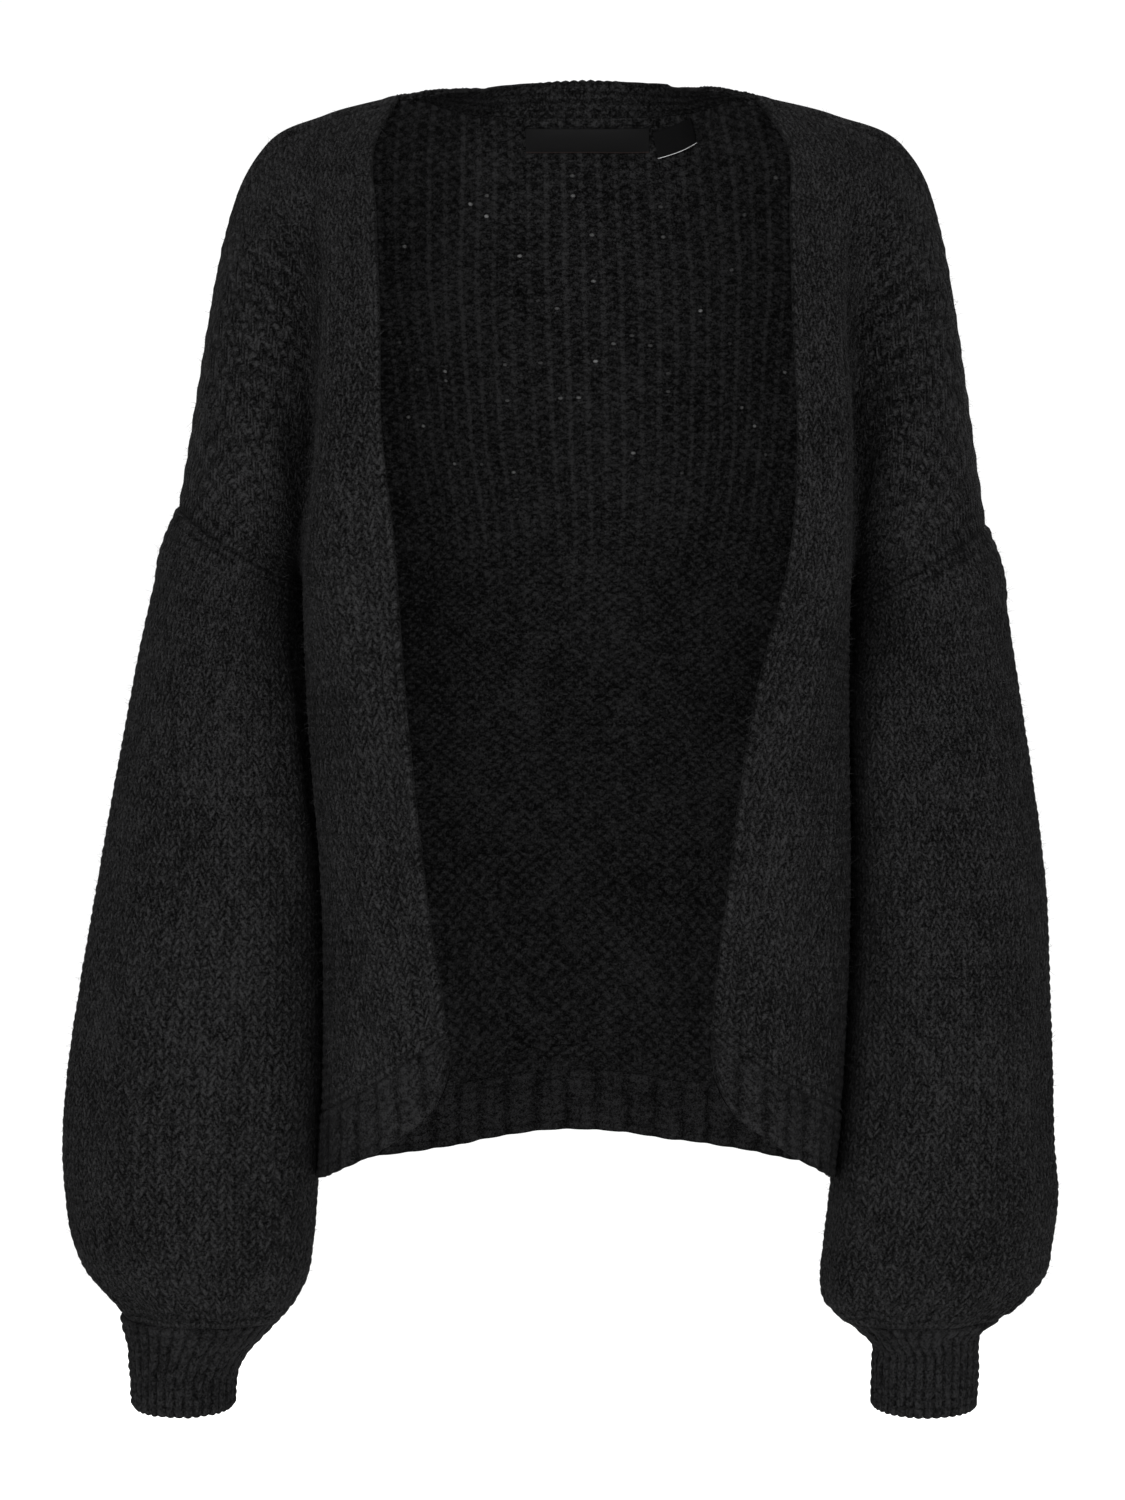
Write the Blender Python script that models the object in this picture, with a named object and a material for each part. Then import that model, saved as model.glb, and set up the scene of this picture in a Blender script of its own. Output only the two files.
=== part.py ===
"""Open-front cardigan in chunky brushed knit, hanging hollow as if worn.

The garment is knitted as flat pieces and sewn: a back, two narrow fronts with no
fastening, two balloon sleeves set in low on the upper arm, ribbed cuffs and hems, and a
narrow band round the back of the neck. Here each piece is one closed wall of cloth.

Frame: +Z is up, the fronts face -Y, +X is the side at the right of a person who looks
at the fronts. The origin lies in the middle of the neck opening, level with the points
where the shoulder seams meet the neck. The tables below are in millimetres.
"""

import math
from collections import namedtuple

import bmesh
import bpy
import numpy as np

MM = 0.001

# ---------------------------------------------------------------- driving dimensions, mm
WALL = 3.0               # brushed chunky knit
SEAM_GAP = 0.3           # between two pieces at a seam
SIDES = {"left": -1.0, "right": 1.0}

BODY_BOTTOM = 530.0      # course where the stockinette ends, measured down from the shoulder
HEM_DEPTH = 36.0
RIB_WALL = 2.6           # cloth between the ribs
HEM_RIB_RISE = 1.8
BACK_HEM_RIBS = 29
FRONT_HEM_RIBS = 11
CORNER_ROUND = 12.0      # radius of the lower front corners

CUFF_RIBS = 34
CUFF_RIB_RISE = 1.3

SELVEDGE_WIDTH = 9.0     # the knit edge of each front rolls into a slim bead
SELVEDGE_RISE = 1.6
SELVEDGE_FROM = 350.0    # the bead starts to show this far down the front edge
SELVEDGE_FULL = 450.0

NECKBAND_HEIGHT = 19.5
NECKBAND_WALL = 3.0
NECKBAND_LEAN = math.radians(74.0)   # how far the band lies over at the shoulders
NECKBAND_LEAN_BY = 0.85  # share of the way to the shoulder where it lies over fully
NECKBAND_TURN = 0.72     # share of the way to the shoulder where it turns in towards the neck

GATHERS = 10             # soft gathers all round, where each sleeve meets its cuff
GATHER_RISE = 2.4
GATHER_DRIFT = 0.35      # how unevenly the gathers are spaced, in radians
GATHER_FROM = -640.0
GATHER_FULL = -684.0

LABEL_WIDTH = 70.0
LABEL_HEIGHT = 15.0
LABEL_CENTRE_X = 7.0
LABEL_TOP_DROP = 4.5     # below the neckline
LABEL_WALL = 0.8
TAB_WIDTH = 23.0
TAB_HEIGHT = 14.0
TAB_TILT = math.radians(14.0)
TAB_GAP = 2.0            # between the label's end and the tab
TAB_DROP = 7.0           # its inner top corner, below the neckline
TAB_LIFT = 1.5           # its free end stands off the cloth
LABEL_CREST = 0.2        # the label bridges the curve of the cloth behind it
LABEL_REACH = 48.0       # the labels lie above this depth of the back

UNDERARM_OUT = (0.29, 0.0, -0.96)    # way out of the cloth where arm and body part, at +X
HALF_MIDDLE_X = 60.0     # a line inside each half of the body, to tell inside from outside
SEAM_LINE_DEPTH = 40.0   # above this depth the courses start to follow the shoulder seam
TINY = 1e-6

# Each armhole is an oval ring round the upper arm: its top at the outside of the arm and
# its foot under the arm, as (distance from the middle, height), and its half depth.
Armhole = namedtuple("Armhole", "top foot half_depth")
ARMHOLES = {
    "left": Armhole(top=(218.5, -226.0), foot=(150.0, -270.0), half_depth=68.0),
    "right": Armhole(top=(226.5, -236.0), foot=(150.0, -280.0), half_depth=68.0),
}

# A course is one row of stitches across a panel. It is held at a few places, each as
# (x, y, z) on the right half, and ends at an angle round the armhole, or at the side
# seam as (x, z). "down" is how far down the cloth it lies.
FrontCourse = namedtuple("FrontCourse", "down edge turn fold lobe end")
FRONT_COURSES = (
    FrontCourse(0, (98, 3, -1), (140, 1, -12), (176.5, 0, -30.5), (197.5, 0, -79), 0),
    FrontCourse(30, (111, -38, -28), (142, -40, -38), (171, -37, -60), (195, -33, -106), 26),
    FrontCourse(75, (110.5, -84, -70), (138, -74, -80), (156, -56, -101), (183, -57, -148), 56),
    FrontCourse(130, (109, -113, -125), (137, -102, -132), (147, -52, -150), (167, -65, -190), 92),
    FrontCourse(185, (109.5, -126, -180), (139, -113, -187), (147, -46, -204), (157, -56, -232), 130),
    FrontCourse(240, (105.5, -128, -235), (140, -112, -243), (147.5, -60, -256),
                (149.5, -25, -268), 180),
    FrontCourse(337, (92, -127, -330), (129, -102, -335), (145, -66, -338),
                (147.5, -32, -340), (147, -341)),
    FrontCourse(437, (79.7, -127, -430), (118, -106, -440), (140, -72, -444),
                (145, -34, -446), (145, -446)),
    FrontCourse(530, (71, -129.5, -501), (109, -110, -530), (135.5, -76, -549),
                (143, -36, -559), (143.5, -562)),
    FrontCourse(566, (69.5, -130, -537), (108, -110, -566), (134.5, -76, -585),
                (142, -36, -595), (142.5, -598)),
)

BackCourse = namedtuple("BackCourse", "down middle blade shoulder turn fold lobe end")
BACK_COURSES = (
    BackCourse(0, (0, 70, -10), (60, 55, -8.5), (103, 4, -2.4),
               (140, 1, -12), (176.5, 0, -30.5), (197.5, 0, -79), 0),
    BackCourse(30, (0, 84, -41), (60, 74, -40), (108, 34, -31),
               (142, 35, -41), (171, 35, -62), (195, 33, -106), -26),
    BackCourse(75, (0, 98, -86), (61, 95, -87), (108, 68, -82),
               (140, 61, -88), (160, 54, -105), (184, 56, -148), -56),
    BackCourse(130, (0, 107, -137), (62, 107, -139), (106, 90, -136),
               (137, 78, -143), (150, 52, -156), (168, 64, -190), -92),
    BackCourse(185, (0, 110, -189), (62, 110, -191), (105, 96, -190),
               (136, 82, -195), (148, 44, -207), (157, 54, -232), -130),
    BackCourse(240, (0, 108, -241), (62, 108, -243), (105, 94, -244),
               (134, 82, -248), (153, 52, -257), (151, 24, -267), -180),
    BackCourse(337, (0, 103, -336), (62, 101, -338), (104, 83, -340),
               (132, 78, -341), (156, 52, -342), (150, 24, -342), (147, -341)),
    BackCourse(437, (0, 108, -438), (61, 104, -441), (102, 87, -443),
               (132, 80, -445), (154.5, 53, -446), (148.5, 25, -447), (145, -446)),
    BackCourse(530, (0, 122, -561), (60, 116, -565.5), (101, 98, -570),
               (130, 84, -572), (151, 54, -570), (146.5, 26, -566), (143.5, -562)),
    BackCourse(566, (0, 124, -597), (60, 118, -601.5), (100, 99, -606),
               (129, 84, -608), (150, 54, -606), (145.5, 26, -602), (142.5, -598)),
)
FRONT_PLACES = (0.0, 0.26, 0.52, 0.75, 1.0)          # share of the stitches up to each place
BACK_PLACES = (0.0, 0.24, 0.44, 0.58, 0.71, 0.84, 1.0)

# The worn garment hangs a little off true: everything at one height moves sideways by
# this much, one amount near the front edges and one at the sides.
Sway = namedtuple("Sway", "height edge side")
SWAY = (
    Sway(-600, 4.0, 0.0), Sway(-565, 4.0, 3.0), Sway(-530, 3.5, 5.0), Sway(-480, 1.5, 6.5),
    Sway(-430, 1.0, 6.0), Sway(-380, 1.0, 3.5), Sway(-330, 2.5, 1.5), Sway(-280, 7.0, 0.0),
    Sway(-236, 9.6, 2.5), Sway(-180, 7.5, 5.0), Sway(-100, 5.2, 4.4), Sway(-30, 3.0, 4.9),
    Sway(0, 1.0, 1.0),
)
SWAY_EDGE_TO = 112.0     # nearer the middle than this, the edge's sway holds
SWAY_SIDE_FROM = 148.0   # farther out than this, the side's sway holds

# A sleeve is a row of rings. "tilt" is how much higher its outside is than its inside;
# "out" and "in" are the distances from the middle at the left and the right sleeve.
Ring = namedtuple("Ring", "height tilt out_left in_left out_right in_right half_depth ahead")
SLEEVE_RINGS = (
    Ring(-278, 27, 231.0, 151.8, 235.0, 151.8, 69, 0),
    Ring(-310, 12, 240.5, 151.0, 242.0, 151.2, 67, 0),
    Ring(-345, 0, 248.5, 149.0, 248.5, 151.5, 66, 1),
    Ring(-390, 0, 257.0, 144.5, 255.5, 153.0, 67, 3),
    Ring(-440, 0, 266.0, 141.5, 261.5, 155.0, 69, 5),
    Ring(-490, 0, 274.8, 140.3, 264.0, 153.5, 71, 7),
    Ring(-542, 0, 282.7, 141.0, 266.3, 150.5, 72, 8),
    Ring(-580, 0, 285.5, 143.7, 267.6, 147.0, 71, 9),
    Ring(-610, 0, 284.0, 146.0, 269.6, 144.3, 69, 9),
    Ring(-635, 0, 280.0, 148.0, 266.5, 141.5, 65, 9),
    Ring(-655, 0, 271.0, 152.0, 262.3, 140.0, 58, 9),
    Ring(-670, 0, 257.0, 160.5, 248.5, 143.5, 49, 9),
    Ring(-677, 0, 252.6, 165.0, 237.6, 149.4, 44, 9),
)

# The cuff's rings, measured over its ribs, from the sleeve's end down to the opening.
CuffRing = namedtuple("CuffRing", "height out_left in_left out_right in_right half_depth")
CUFF_RINGS = (
    CuffRing(-677, 254.4, 163.2, 239.6, 147.6, 45),
    CuffRing(-685, 252.8, 169.6, 228.6, 157.6, 40),
    CuffRing(-694, 250.6, 178.8, 226.2, 166.0, 35),
    CuffRing(-704, 249.8, 186.0, 226.2, 166.2, 32),
    CuffRing(-730, 248.6, 190.4, 225.6, 165.8, 30),
)
CUFF_TOP = CUFF_RINGS[0].height

# ------------------------------------------------------------------- mesh density, counts
FRONT_COLUMNS = 13
EDGE_COLUMNS = (0.0, 0.022, 0.05)    # closer columns along the rolled front edge
EDGE_END = 0.09
NECK_COLUMNS = 8         # from the middle of the back to the neck point
SHOULDER_COLUMNS = 7     # from the neck point to the armhole or side seam
PANEL_ROWS = 19
SLEEVE_COLUMNS = 40
SLEEVE_ROWS = 14
RIB_STEPS = 4            # points round one rib
HEM_ROWS = 2
CUFF_CLOSER = 0.16       # how much closer the sleeve's rings lie near the cuff
NECKBAND_ROWS = 2
LABEL_GRID = (4, 9)      # rows and columns of points
TAB_GRID = (4, 5)

Cloth = namedtuple("Cloth", "colour roughness")
BRUSHED_KNIT = Cloth(colour=(0.022, 0.022, 0.024), roughness=0.95)
RIB_KNIT = Cloth(colour=(0.020, 0.020, 0.022), roughness=0.95)
BLACK_SATIN = Cloth(colour=(0.012, 0.012, 0.012), roughness=0.45)


# ------------------------------------------------------------------------------- curves
def curve_through(knots, points, at, first_tangent=None):
    """A smooth curve through points (one per knot), read at the given places."""
    knots = np.asarray(knots, float)
    points = np.asarray(points, float)
    slopes = np.diff(points, axis=0) / np.diff(knots)[:, None]
    weights = np.diff(knots)
    tangents = np.empty_like(points)
    tangents[0], tangents[-1] = slopes[0], slopes[-1]
    for i in range(1, len(knots) - 1):
        before, after = weights[i - 1], weights[i]
        tangents[i] = (slopes[i - 1] * after + slopes[i] * before) / (before + after)
    if first_tangent is not None:
        place, tangent, share = first_tangent
        tangents[place] = tangents[place] * (1 - share) + tangent * share
    at = np.clip(np.asarray(at, float), knots[0], knots[-1])
    span = np.clip(np.searchsorted(knots, at, side="right") - 1, 0, len(knots) - 2)
    width = weights[span]
    u = ((at - knots[span]) / width)[:, None]
    width = width[:, None]
    start, end = points[span], points[span + 1]
    return ((2 * u**3 - 3 * u**2 + 1) * start + (u**3 - 2 * u**2 + u) * width * tangents[span]
            + (3 * u**2 - 2 * u**3) * end + (u**3 - u**2) * width * tangents[span + 1])


def smoothstep(low, high, value):
    u = np.clip((np.asarray(value, float) - low) / (high - low), 0, 1)
    return u * u * (3 - 2 * u)


def unit(vectors):
    return vectors / np.linalg.norm(vectors, axis=-1, keepdims=True)


def sway(points):
    """Moves points sideways as the garment hangs, in millimetres."""
    heights = [row.height for row in SWAY]
    edge = np.interp(points[..., 2], heights, [row.edge for row in SWAY])
    side = np.interp(points[..., 2], heights, [row.side for row in SWAY])
    share = smoothstep(SWAY_EDGE_TO, SWAY_SIDE_FROM, np.abs(points[..., 0]))
    moved = points.copy()
    moved[..., 0] += edge * (1 - share) + side * share
    return moved


def armhole_frame(side):
    """Middle of the ring, half its long axis towards its top, and the way down the arm."""
    ring, sign = ARMHOLES[side], SIDES[side]
    top = np.array([sign * ring.top[0], 0.0, ring.top[1]])
    foot = np.array([sign * ring.foot[0], 0.0, ring.foot[1]])
    middle, reach = (top + foot) / 2, (top - foot) / 2
    down = unit(np.cross([0.0, sign, 0.0], reach))
    return middle, reach, down


def armhole_point(side, degrees):
    """A point on the ring: 0 at its top, 90 at the front of the arm, 180 underneath."""
    middle, reach, _ = armhole_frame(side)
    turn = np.radians(np.asarray(degrees, float))[..., None]
    depth = np.array([0.0, -ARMHOLES[side].half_depth, 0.0])
    return middle + reach * np.cos(turn) + depth * np.sin(turn)


def armhole_outward(side, degrees):
    """The direction out of the sleeve at that point, in the plane of the ring."""
    _, reach, _ = armhole_frame(side)
    turn = math.radians(degrees)
    length = np.linalg.norm(reach)
    out = reach / length * math.cos(turn) / length
    out = out + np.array([0.0, -1.0, 0.0]) * math.sin(turn) / ARMHOLES[side].half_depth
    return out / np.linalg.norm(out)


# ------------------------------------------------------------------- surfaces of the body
def ends_on_armhole(course):
    return not isinstance(course.end, tuple)


def underarm(courses):
    """The course that runs under the arm, where the side seam starts."""
    return max(course.down for course in courses if ends_on_armhole(course))


def armhole_angle(courses, depth):
    """How far round the armhole the course at this depth ends, in degrees."""
    held = [course for course in courses if ends_on_armhole(course)]
    angle = curve_through([c.down for c in held], [[c.end] for c in held], [depth])
    return float(angle[0, 0])


def end_of_course(side, courses, depth):
    """Where the course at this depth ends: on the armhole ring, then on the side seam."""
    start = underarm(courses)
    if depth < start:
        return armhole_point(side, armhole_angle(courses, depth))
    knots, seam = [start], [armhole_point(side, 180.0)]
    for course in courses:
        if not ends_on_armhole(course):
            x, z = course.end
            knots.append(course.down)
            seam.append(sway(np.array([SIDES[side] * x, 0.0, z])))
    return curve_through(knots, seam, [depth])[0]


def body_points(side, courses, places, down, across):
    """Grid of points on a panel's outside: one row per course, one column per wale."""
    knots = [course.down for course in courses]
    mirror = np.array([SIDES[side], 1.0, 1.0])
    nets = sway(np.array([course[1:-1] for course in courses]) * mirror)
    seam_place = len(places) - len(FRONT_PLACES)
    crosses_middle = seam_place > 0
    if crosses_middle:
        places = (-places[1], *places)
        seam_place += 1
    rows = []
    for depth in down:
        held = [curve_through(knots, nets[:, k], [depth])[0] for k in range(nets.shape[1])]
        held.append(end_of_course(side, courses, depth))
        if crosses_middle:
            # The other half's first place, so that the course runs straight over the middle.
            held.insert(0, held[1] * [-1, 1, 1] + held[0] * [2, 0, 0])
        # Along the shoulder seam both panels follow one line, so there the tangent at the
        # neck point looks along the seam only.
        step = places[seam_place + 1] - places[seam_place]
        along = (held[seam_place + 1] - held[seam_place]) / step
        share = 1 - smoothstep(0, SEAM_LINE_DEPTH, depth)
        rows.append(curve_through(places, held, across, (seam_place, along, share)))
    return np.array(rows)


def grid_normals(points, wrap=False):
    """Unit normals of a grid of points, from its own rows and columns."""
    if wrap:
        across = np.roll(points, -1, axis=1) - np.roll(points, 1, axis=1)
    else:
        across = np.gradient(points, axis=1)
    down = np.gradient(points, axis=0)
    return unit(np.cross(down, across))


def outward(points, normals, inside):
    """Turns the normals to point away from a line of places inside the garment."""
    facing = np.einsum("ijk,ijk->ij", normals, points - inside)
    return normals * (1.0 if facing.sum() > 0 else -1.0)


def seam_normals(side, courses, down, neck, points, normals):
    """Both pieces at a seam get one normal, so that their edges meet face to face."""
    sign = SIDES[side]
    normals = normals.copy()
    start = underarm(courses)
    for i, depth in enumerate(down):
        if depth < start - TINY:
            normals[i, -1] = armhole_outward(side, armhole_angle(courses, depth))
        elif depth < start + TINY:
            normals[i, -1] = unit(np.array(UNDERARM_OUT) * [sign, 1, 1])
        else:
            normals[i, -1] = [sign, 0.0, 0.0]
    if down[0] == 0:
        for j in range(neck, points.shape[1] - 1):
            step = points[0, j + 1] - points[0, max(j - 1, neck)]
            normals[0, j] = unit(np.cross([0.0, sign, 0.0], step))
            if normals[0, j, 2] < 0:
                normals[0, j] *= -1
    return normals


def panel_down():
    """Courses of a panel's mesh, one of them exactly at the side seam's start."""
    start = underarm(FRONT_COURSES)
    upper = int(round(PANEL_ROWS * start / BODY_BOTTOM))
    above = np.linspace(0, start, upper + 1)
    below = np.linspace(start, BODY_BOTTOM, PANEL_ROWS - upper + 1)
    return np.concatenate([above, below[1:]])


def half_panel(side, courses, places, down, across):
    """Outside points and normals of a front, or of one half of the back."""
    points = body_points(side, courses, places, down, across)
    inside = points * [0.0, 0.0, 1.0] + [SIDES[side] * HALF_MIDDLE_X, 0.0, 0.0]
    normals = outward(points, grid_normals(points), inside)
    neck = int(np.searchsorted(across, places[len(places) - len(FRONT_PLACES)] - TINY))
    return points, seam_normals(side, courses, down, neck, points, normals)


def part_at_seams(side, down, points, facing):
    """Draws a panel back from its seams by half the gap; facing is -1 at the front."""
    half = SEAM_GAP / 2
    points = points.copy()
    start = underarm(FRONT_COURSES)
    _, _, arm_down = armhole_frame(side)
    for i, depth in enumerate(down):
        if depth < start - TINY:
            points[i, -1] -= half * arm_down
        if depth > start - TINY or depth == 0:
            points[i, -1, 1] += facing * half
    if down[0] == 0:
        points[0, :-1, 1] += facing * half
    return points


# ------------------------------------------------------------------------- solids, meshes
def knit_material(name, cloth):
    material = bpy.data.materials.new(name)
    material.use_nodes = True
    shader = material.node_tree.nodes["Principled BSDF"]
    shader.inputs["Base Color"].default_value = (*cloth.colour, 1.0)
    shader.inputs["Roughness"].default_value = cloth.roughness
    shader.inputs["Metallic"].default_value = 0.0
    material.diffuse_color = (*cloth.colour, 1.0)
    return material


def wall(name, outside, inside, cloth, wrap=False):
    """A closed wall of cloth between two grids of points (rows, columns), in mm."""
    bm = bmesh.new()
    rows, columns = outside.shape[:2]
    outer = [[bm.verts.new(p * MM) for p in row] for row in outside]
    inner = [[bm.verts.new(p * MM) for p in row] for row in inside]
    spans = columns if wrap else columns - 1
    for i in range(rows - 1):
        for j in range(spans):
            k = (j + 1) % columns
            bm.faces.new((outer[i][j], outer[i][k], outer[i + 1][k], outer[i + 1][j]))
            bm.faces.new((inner[i][j], inner[i + 1][j], inner[i + 1][k], inner[i][k]))
    for j in range(spans):
        k = (j + 1) % columns
        for i, turned in ((0, False), (rows - 1, True)):
            rim = (outer[i][j], inner[i][j], inner[i][k], outer[i][k])
            bm.faces.new(rim[::-1] if turned else rim)
    if not wrap:
        for i in range(rows - 1):
            for j, turned in ((0, True), (columns - 1, False)):
                rim = (outer[i][j], inner[i][j], inner[i + 1][j], outer[i + 1][j])
                bm.faces.new(rim[::-1] if turned else rim)
    bmesh.ops.recalc_face_normals(bm, faces=bm.faces)
    mesh = bpy.data.meshes.new(name)
    bm.to_mesh(mesh)
    bm.free()
    mesh.shade_smooth()
    mesh.set_sharp_from_angle(angle=math.radians(50))
    mesh.materials.append(knit_material(name, cloth))
    piece = bpy.data.objects.new(name, mesh)
    garment.objects.link(piece)
    return piece


def selvedge(side, down, across, points, normals):
    """Raises the rolled bead along a front's free edge."""
    length = np.linalg.norm(np.diff(points, axis=1), axis=2)
    reach = np.concatenate([np.zeros((len(down), 1)), np.cumsum(length, axis=1)], axis=1)
    bead = np.sin(np.pi * np.clip(reach / SELVEDGE_WIDTH, 0, 1)) * SELVEDGE_RISE
    bead = bead * smoothstep(SELVEDGE_FROM, SELVEDGE_FULL, down)[:, None]
    return points + normals * bead[..., None]


# ------------------------------------------------------------------------- build pieces
def build_front(side):
    down = panel_down()
    across = np.concatenate([EDGE_COLUMNS, np.linspace(EDGE_END, 1.0, FRONT_COLUMNS - 2)])
    points, normals = half_panel(side, FRONT_COURSES, FRONT_PLACES, down, across)
    points = part_at_seams(side, down, points, -1.0)
    wall("front_" + side, selvedge(side, down, across, points, normals),
         points - normals * WALL, BRUSHED_KNIT)


def back_across():
    """Columns of half the back's mesh, one of them exactly at the neck point."""
    neck = BACK_PLACES[len(BACK_PLACES) - len(FRONT_PLACES)]
    shoulder = np.linspace(neck, 1.0, SHOULDER_COLUMNS + 1)
    return np.concatenate([np.linspace(0.0, neck, NECK_COLUMNS + 1), shoulder[1:]])


def join_halves(left, right):
    """One grid across the whole back, from the left side to the right side."""
    return np.concatenate([left[:, :0:-1], right], axis=1)


def back_grid(down, across):
    """Outside points and normals across the whole back."""
    halves = {}
    for side in SIDES:
        points, normals = half_panel(side, BACK_COURSES, BACK_PLACES, down, across)
        halves[side] = (part_at_seams(side, down, points, 1.0), normals)
    points = join_halves(halves["left"][0], halves["right"][0])
    normals = join_halves(halves["left"][1], halves["right"][1])
    middle = len(across) - 1
    normals[:, middle, 0] = 0.0
    return points, unit(normals)


def build_back():
    points, normals = back_grid(panel_down(), back_across())
    wall("back", points, points - normals * WALL, BRUSHED_KNIT)


def rib_profile(ribs, steps):
    """Height of the ribs across a strip, 0 to 1, with steps points to each rib."""
    place = np.arange(ribs * steps + 1) / steps
    return 0.5 - 0.5 * np.cos(2 * math.pi * place)


def hem_down():
    return np.linspace(BODY_BOTTOM + SEAM_GAP, BODY_BOTTOM + HEM_DEPTH, HEM_ROWS + 1)


def build_hem_front(side):
    across = np.linspace(0.0, 1.0, FRONT_HEM_RIBS * RIB_STEPS + 1)
    points, normals = half_panel(side, FRONT_COURSES, FRONT_PLACES, hem_down(), across)
    points = part_at_seams(side, hem_down(), points, -1.0)
    reach = np.linalg.norm(points - points[:, :1], axis=2)
    short = np.clip(CORNER_ROUND - reach, 0, None)
    lift = CORNER_ROUND - np.sqrt(CORNER_ROUND**2 - short**2)
    points[..., 2] += lift * np.linspace(0, 1, len(points))[:, None]
    ribs = rib_profile(FRONT_HEM_RIBS, RIB_STEPS) * HEM_RIB_RISE
    wall("hem_front_" + side, points + normals * (ribs[None, :, None] - HEM_RIB_RISE / 2),
         points - normals * RIB_WALL, RIB_KNIT)


def build_hem_back():
    half = (BACK_HEM_RIBS * RIB_STEPS) // 2
    points, normals = back_grid(hem_down(), np.linspace(0.0, 1.0, half + 1))
    ribs = rib_profile(BACK_HEM_RIBS, RIB_STEPS) * HEM_RIB_RISE
    wall("hem_back", points + normals * (ribs[None, :, None] - HEM_RIB_RISE / 2),
         points - normals * RIB_WALL, RIB_KNIT)


def sleeve_frames(side):
    """Middle, half width towards the outside and half depth of each sleeve ring."""
    sign = SIDES[side]
    middle, reach, _ = armhole_frame(side)
    heights, middles, reaches, depths = [0.0], [middle], [reach], [ARMHOLES[side].half_depth]
    for ring in SLEEVE_RINGS:
        out = ring.out_left if side == "left" else ring.out_right
        inner = ring.in_left if side == "left" else ring.in_right
        top = np.array([sign * out, -ring.ahead, ring.height + ring.tilt / 2])
        foot = np.array([sign * inner, -ring.ahead, ring.height - ring.tilt / 2])
        heights.append(float(np.linalg.norm((top + foot) / 2 - middles[-1]) + heights[-1]))
        middles.append((top + foot) / 2)
        reaches.append((top - foot) / 2)
        depths.append(ring.half_depth)
    return np.array(heights), np.array(middles), np.array(reaches), np.array(depths)


def sleeve_grid(side, along, turns):
    """Outside points and normals of a sleeve at the given distances along it."""
    knots, middles, reaches, depths = sleeve_frames(side)
    at = along * knots[-1]
    middle = curve_through(knots, middles, at)
    reach = curve_through(knots, reaches, at)
    depth = curve_through(knots, depths[:, None], at)[:, 0]
    cos, sin = np.cos(turns)[None, :, None], np.sin(turns)[None, :, None]
    forward = np.array([0.0, -1.0, 0.0])
    points = middle[:, None] + reach[:, None] * cos + forward * sin * depth[:, None, None]
    # The bottom gathers into the cuff in soft waves.
    waves = np.cos(GATHERS * turns + GATHER_DRIFT * np.sin(3 * turns))[None, :]
    rise = smoothstep(-GATHER_FROM, -GATHER_FULL, -points[..., 2])
    out = grid_normals(points, wrap=True)
    inside = np.broadcast_to(middle[:, None], points.shape)
    out = outward(points, out, inside)
    points = points + out * (waves * rise * GATHER_RISE)[..., None]
    normals = outward(points, grid_normals(points, wrap=True), inside)
    for j, turn in enumerate(turns):
        normals[0, j] = armhole_outward(side, math.degrees(turn))
    flat = normals[-1].copy()
    flat[:, 2] = 0.0
    normals[-1] = unit(flat)
    return points, normals


def build_sleeve(side):
    turns = np.arange(SLEEVE_COLUMNS) * 2 * math.pi / SLEEVE_COLUMNS
    even = np.linspace(0.0, 1.0, SLEEVE_ROWS)
    along = even + CUFF_CLOSER * np.sin(math.pi * even) * even
    points, normals = sleeve_grid(side, along, turns)
    _, _, down = armhole_frame(side)
    points[0] += down * SEAM_GAP / 2
    points[-1, :, 2] = CUFF_TOP + SEAM_GAP / 2
    wall("sleeve_" + side, points, points - normals * WALL, BRUSHED_KNIT, wrap=True)


def build_cuff(side):
    """Rings of 1x1 rib, wide where the cuff takes the sleeve's gathers, narrow at the wrist."""
    sign = SIDES[side]
    count = CUFF_RIBS * RIB_STEPS
    turns = np.arange(count) * 2 * math.pi / count
    around = np.stack([sign * np.cos(turns), -np.sin(turns), np.zeros(count)], axis=1)
    ribs = rib_profile(CUFF_RIBS, RIB_STEPS)[:-1] * CUFF_RIB_RISE
    outside, inside = [], []
    for ring in CUFF_RINGS:
        out = ring.out_left if side == "left" else ring.out_right
        inner = ring.in_left if side == "left" else ring.in_right
        height = ring.height - (SEAM_GAP / 2 if ring.height == CUFF_TOP else 0.0)
        wide, deep = (out - inner) / 2 - CUFF_RIB_RISE, ring.half_depth - CUFF_RIB_RISE
        middle = np.array([sign * (out + inner) / 2, -SLEEVE_RINGS[-1].ahead, height])
        base = middle + around * [wide, deep, 0]
        outside.append(base + around * ribs[:, None])
        inside.append(base - around * RIB_WALL)
    wall("cuff_" + side, np.array(outside), np.array(inside), RIB_KNIT, wrap=True)


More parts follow.
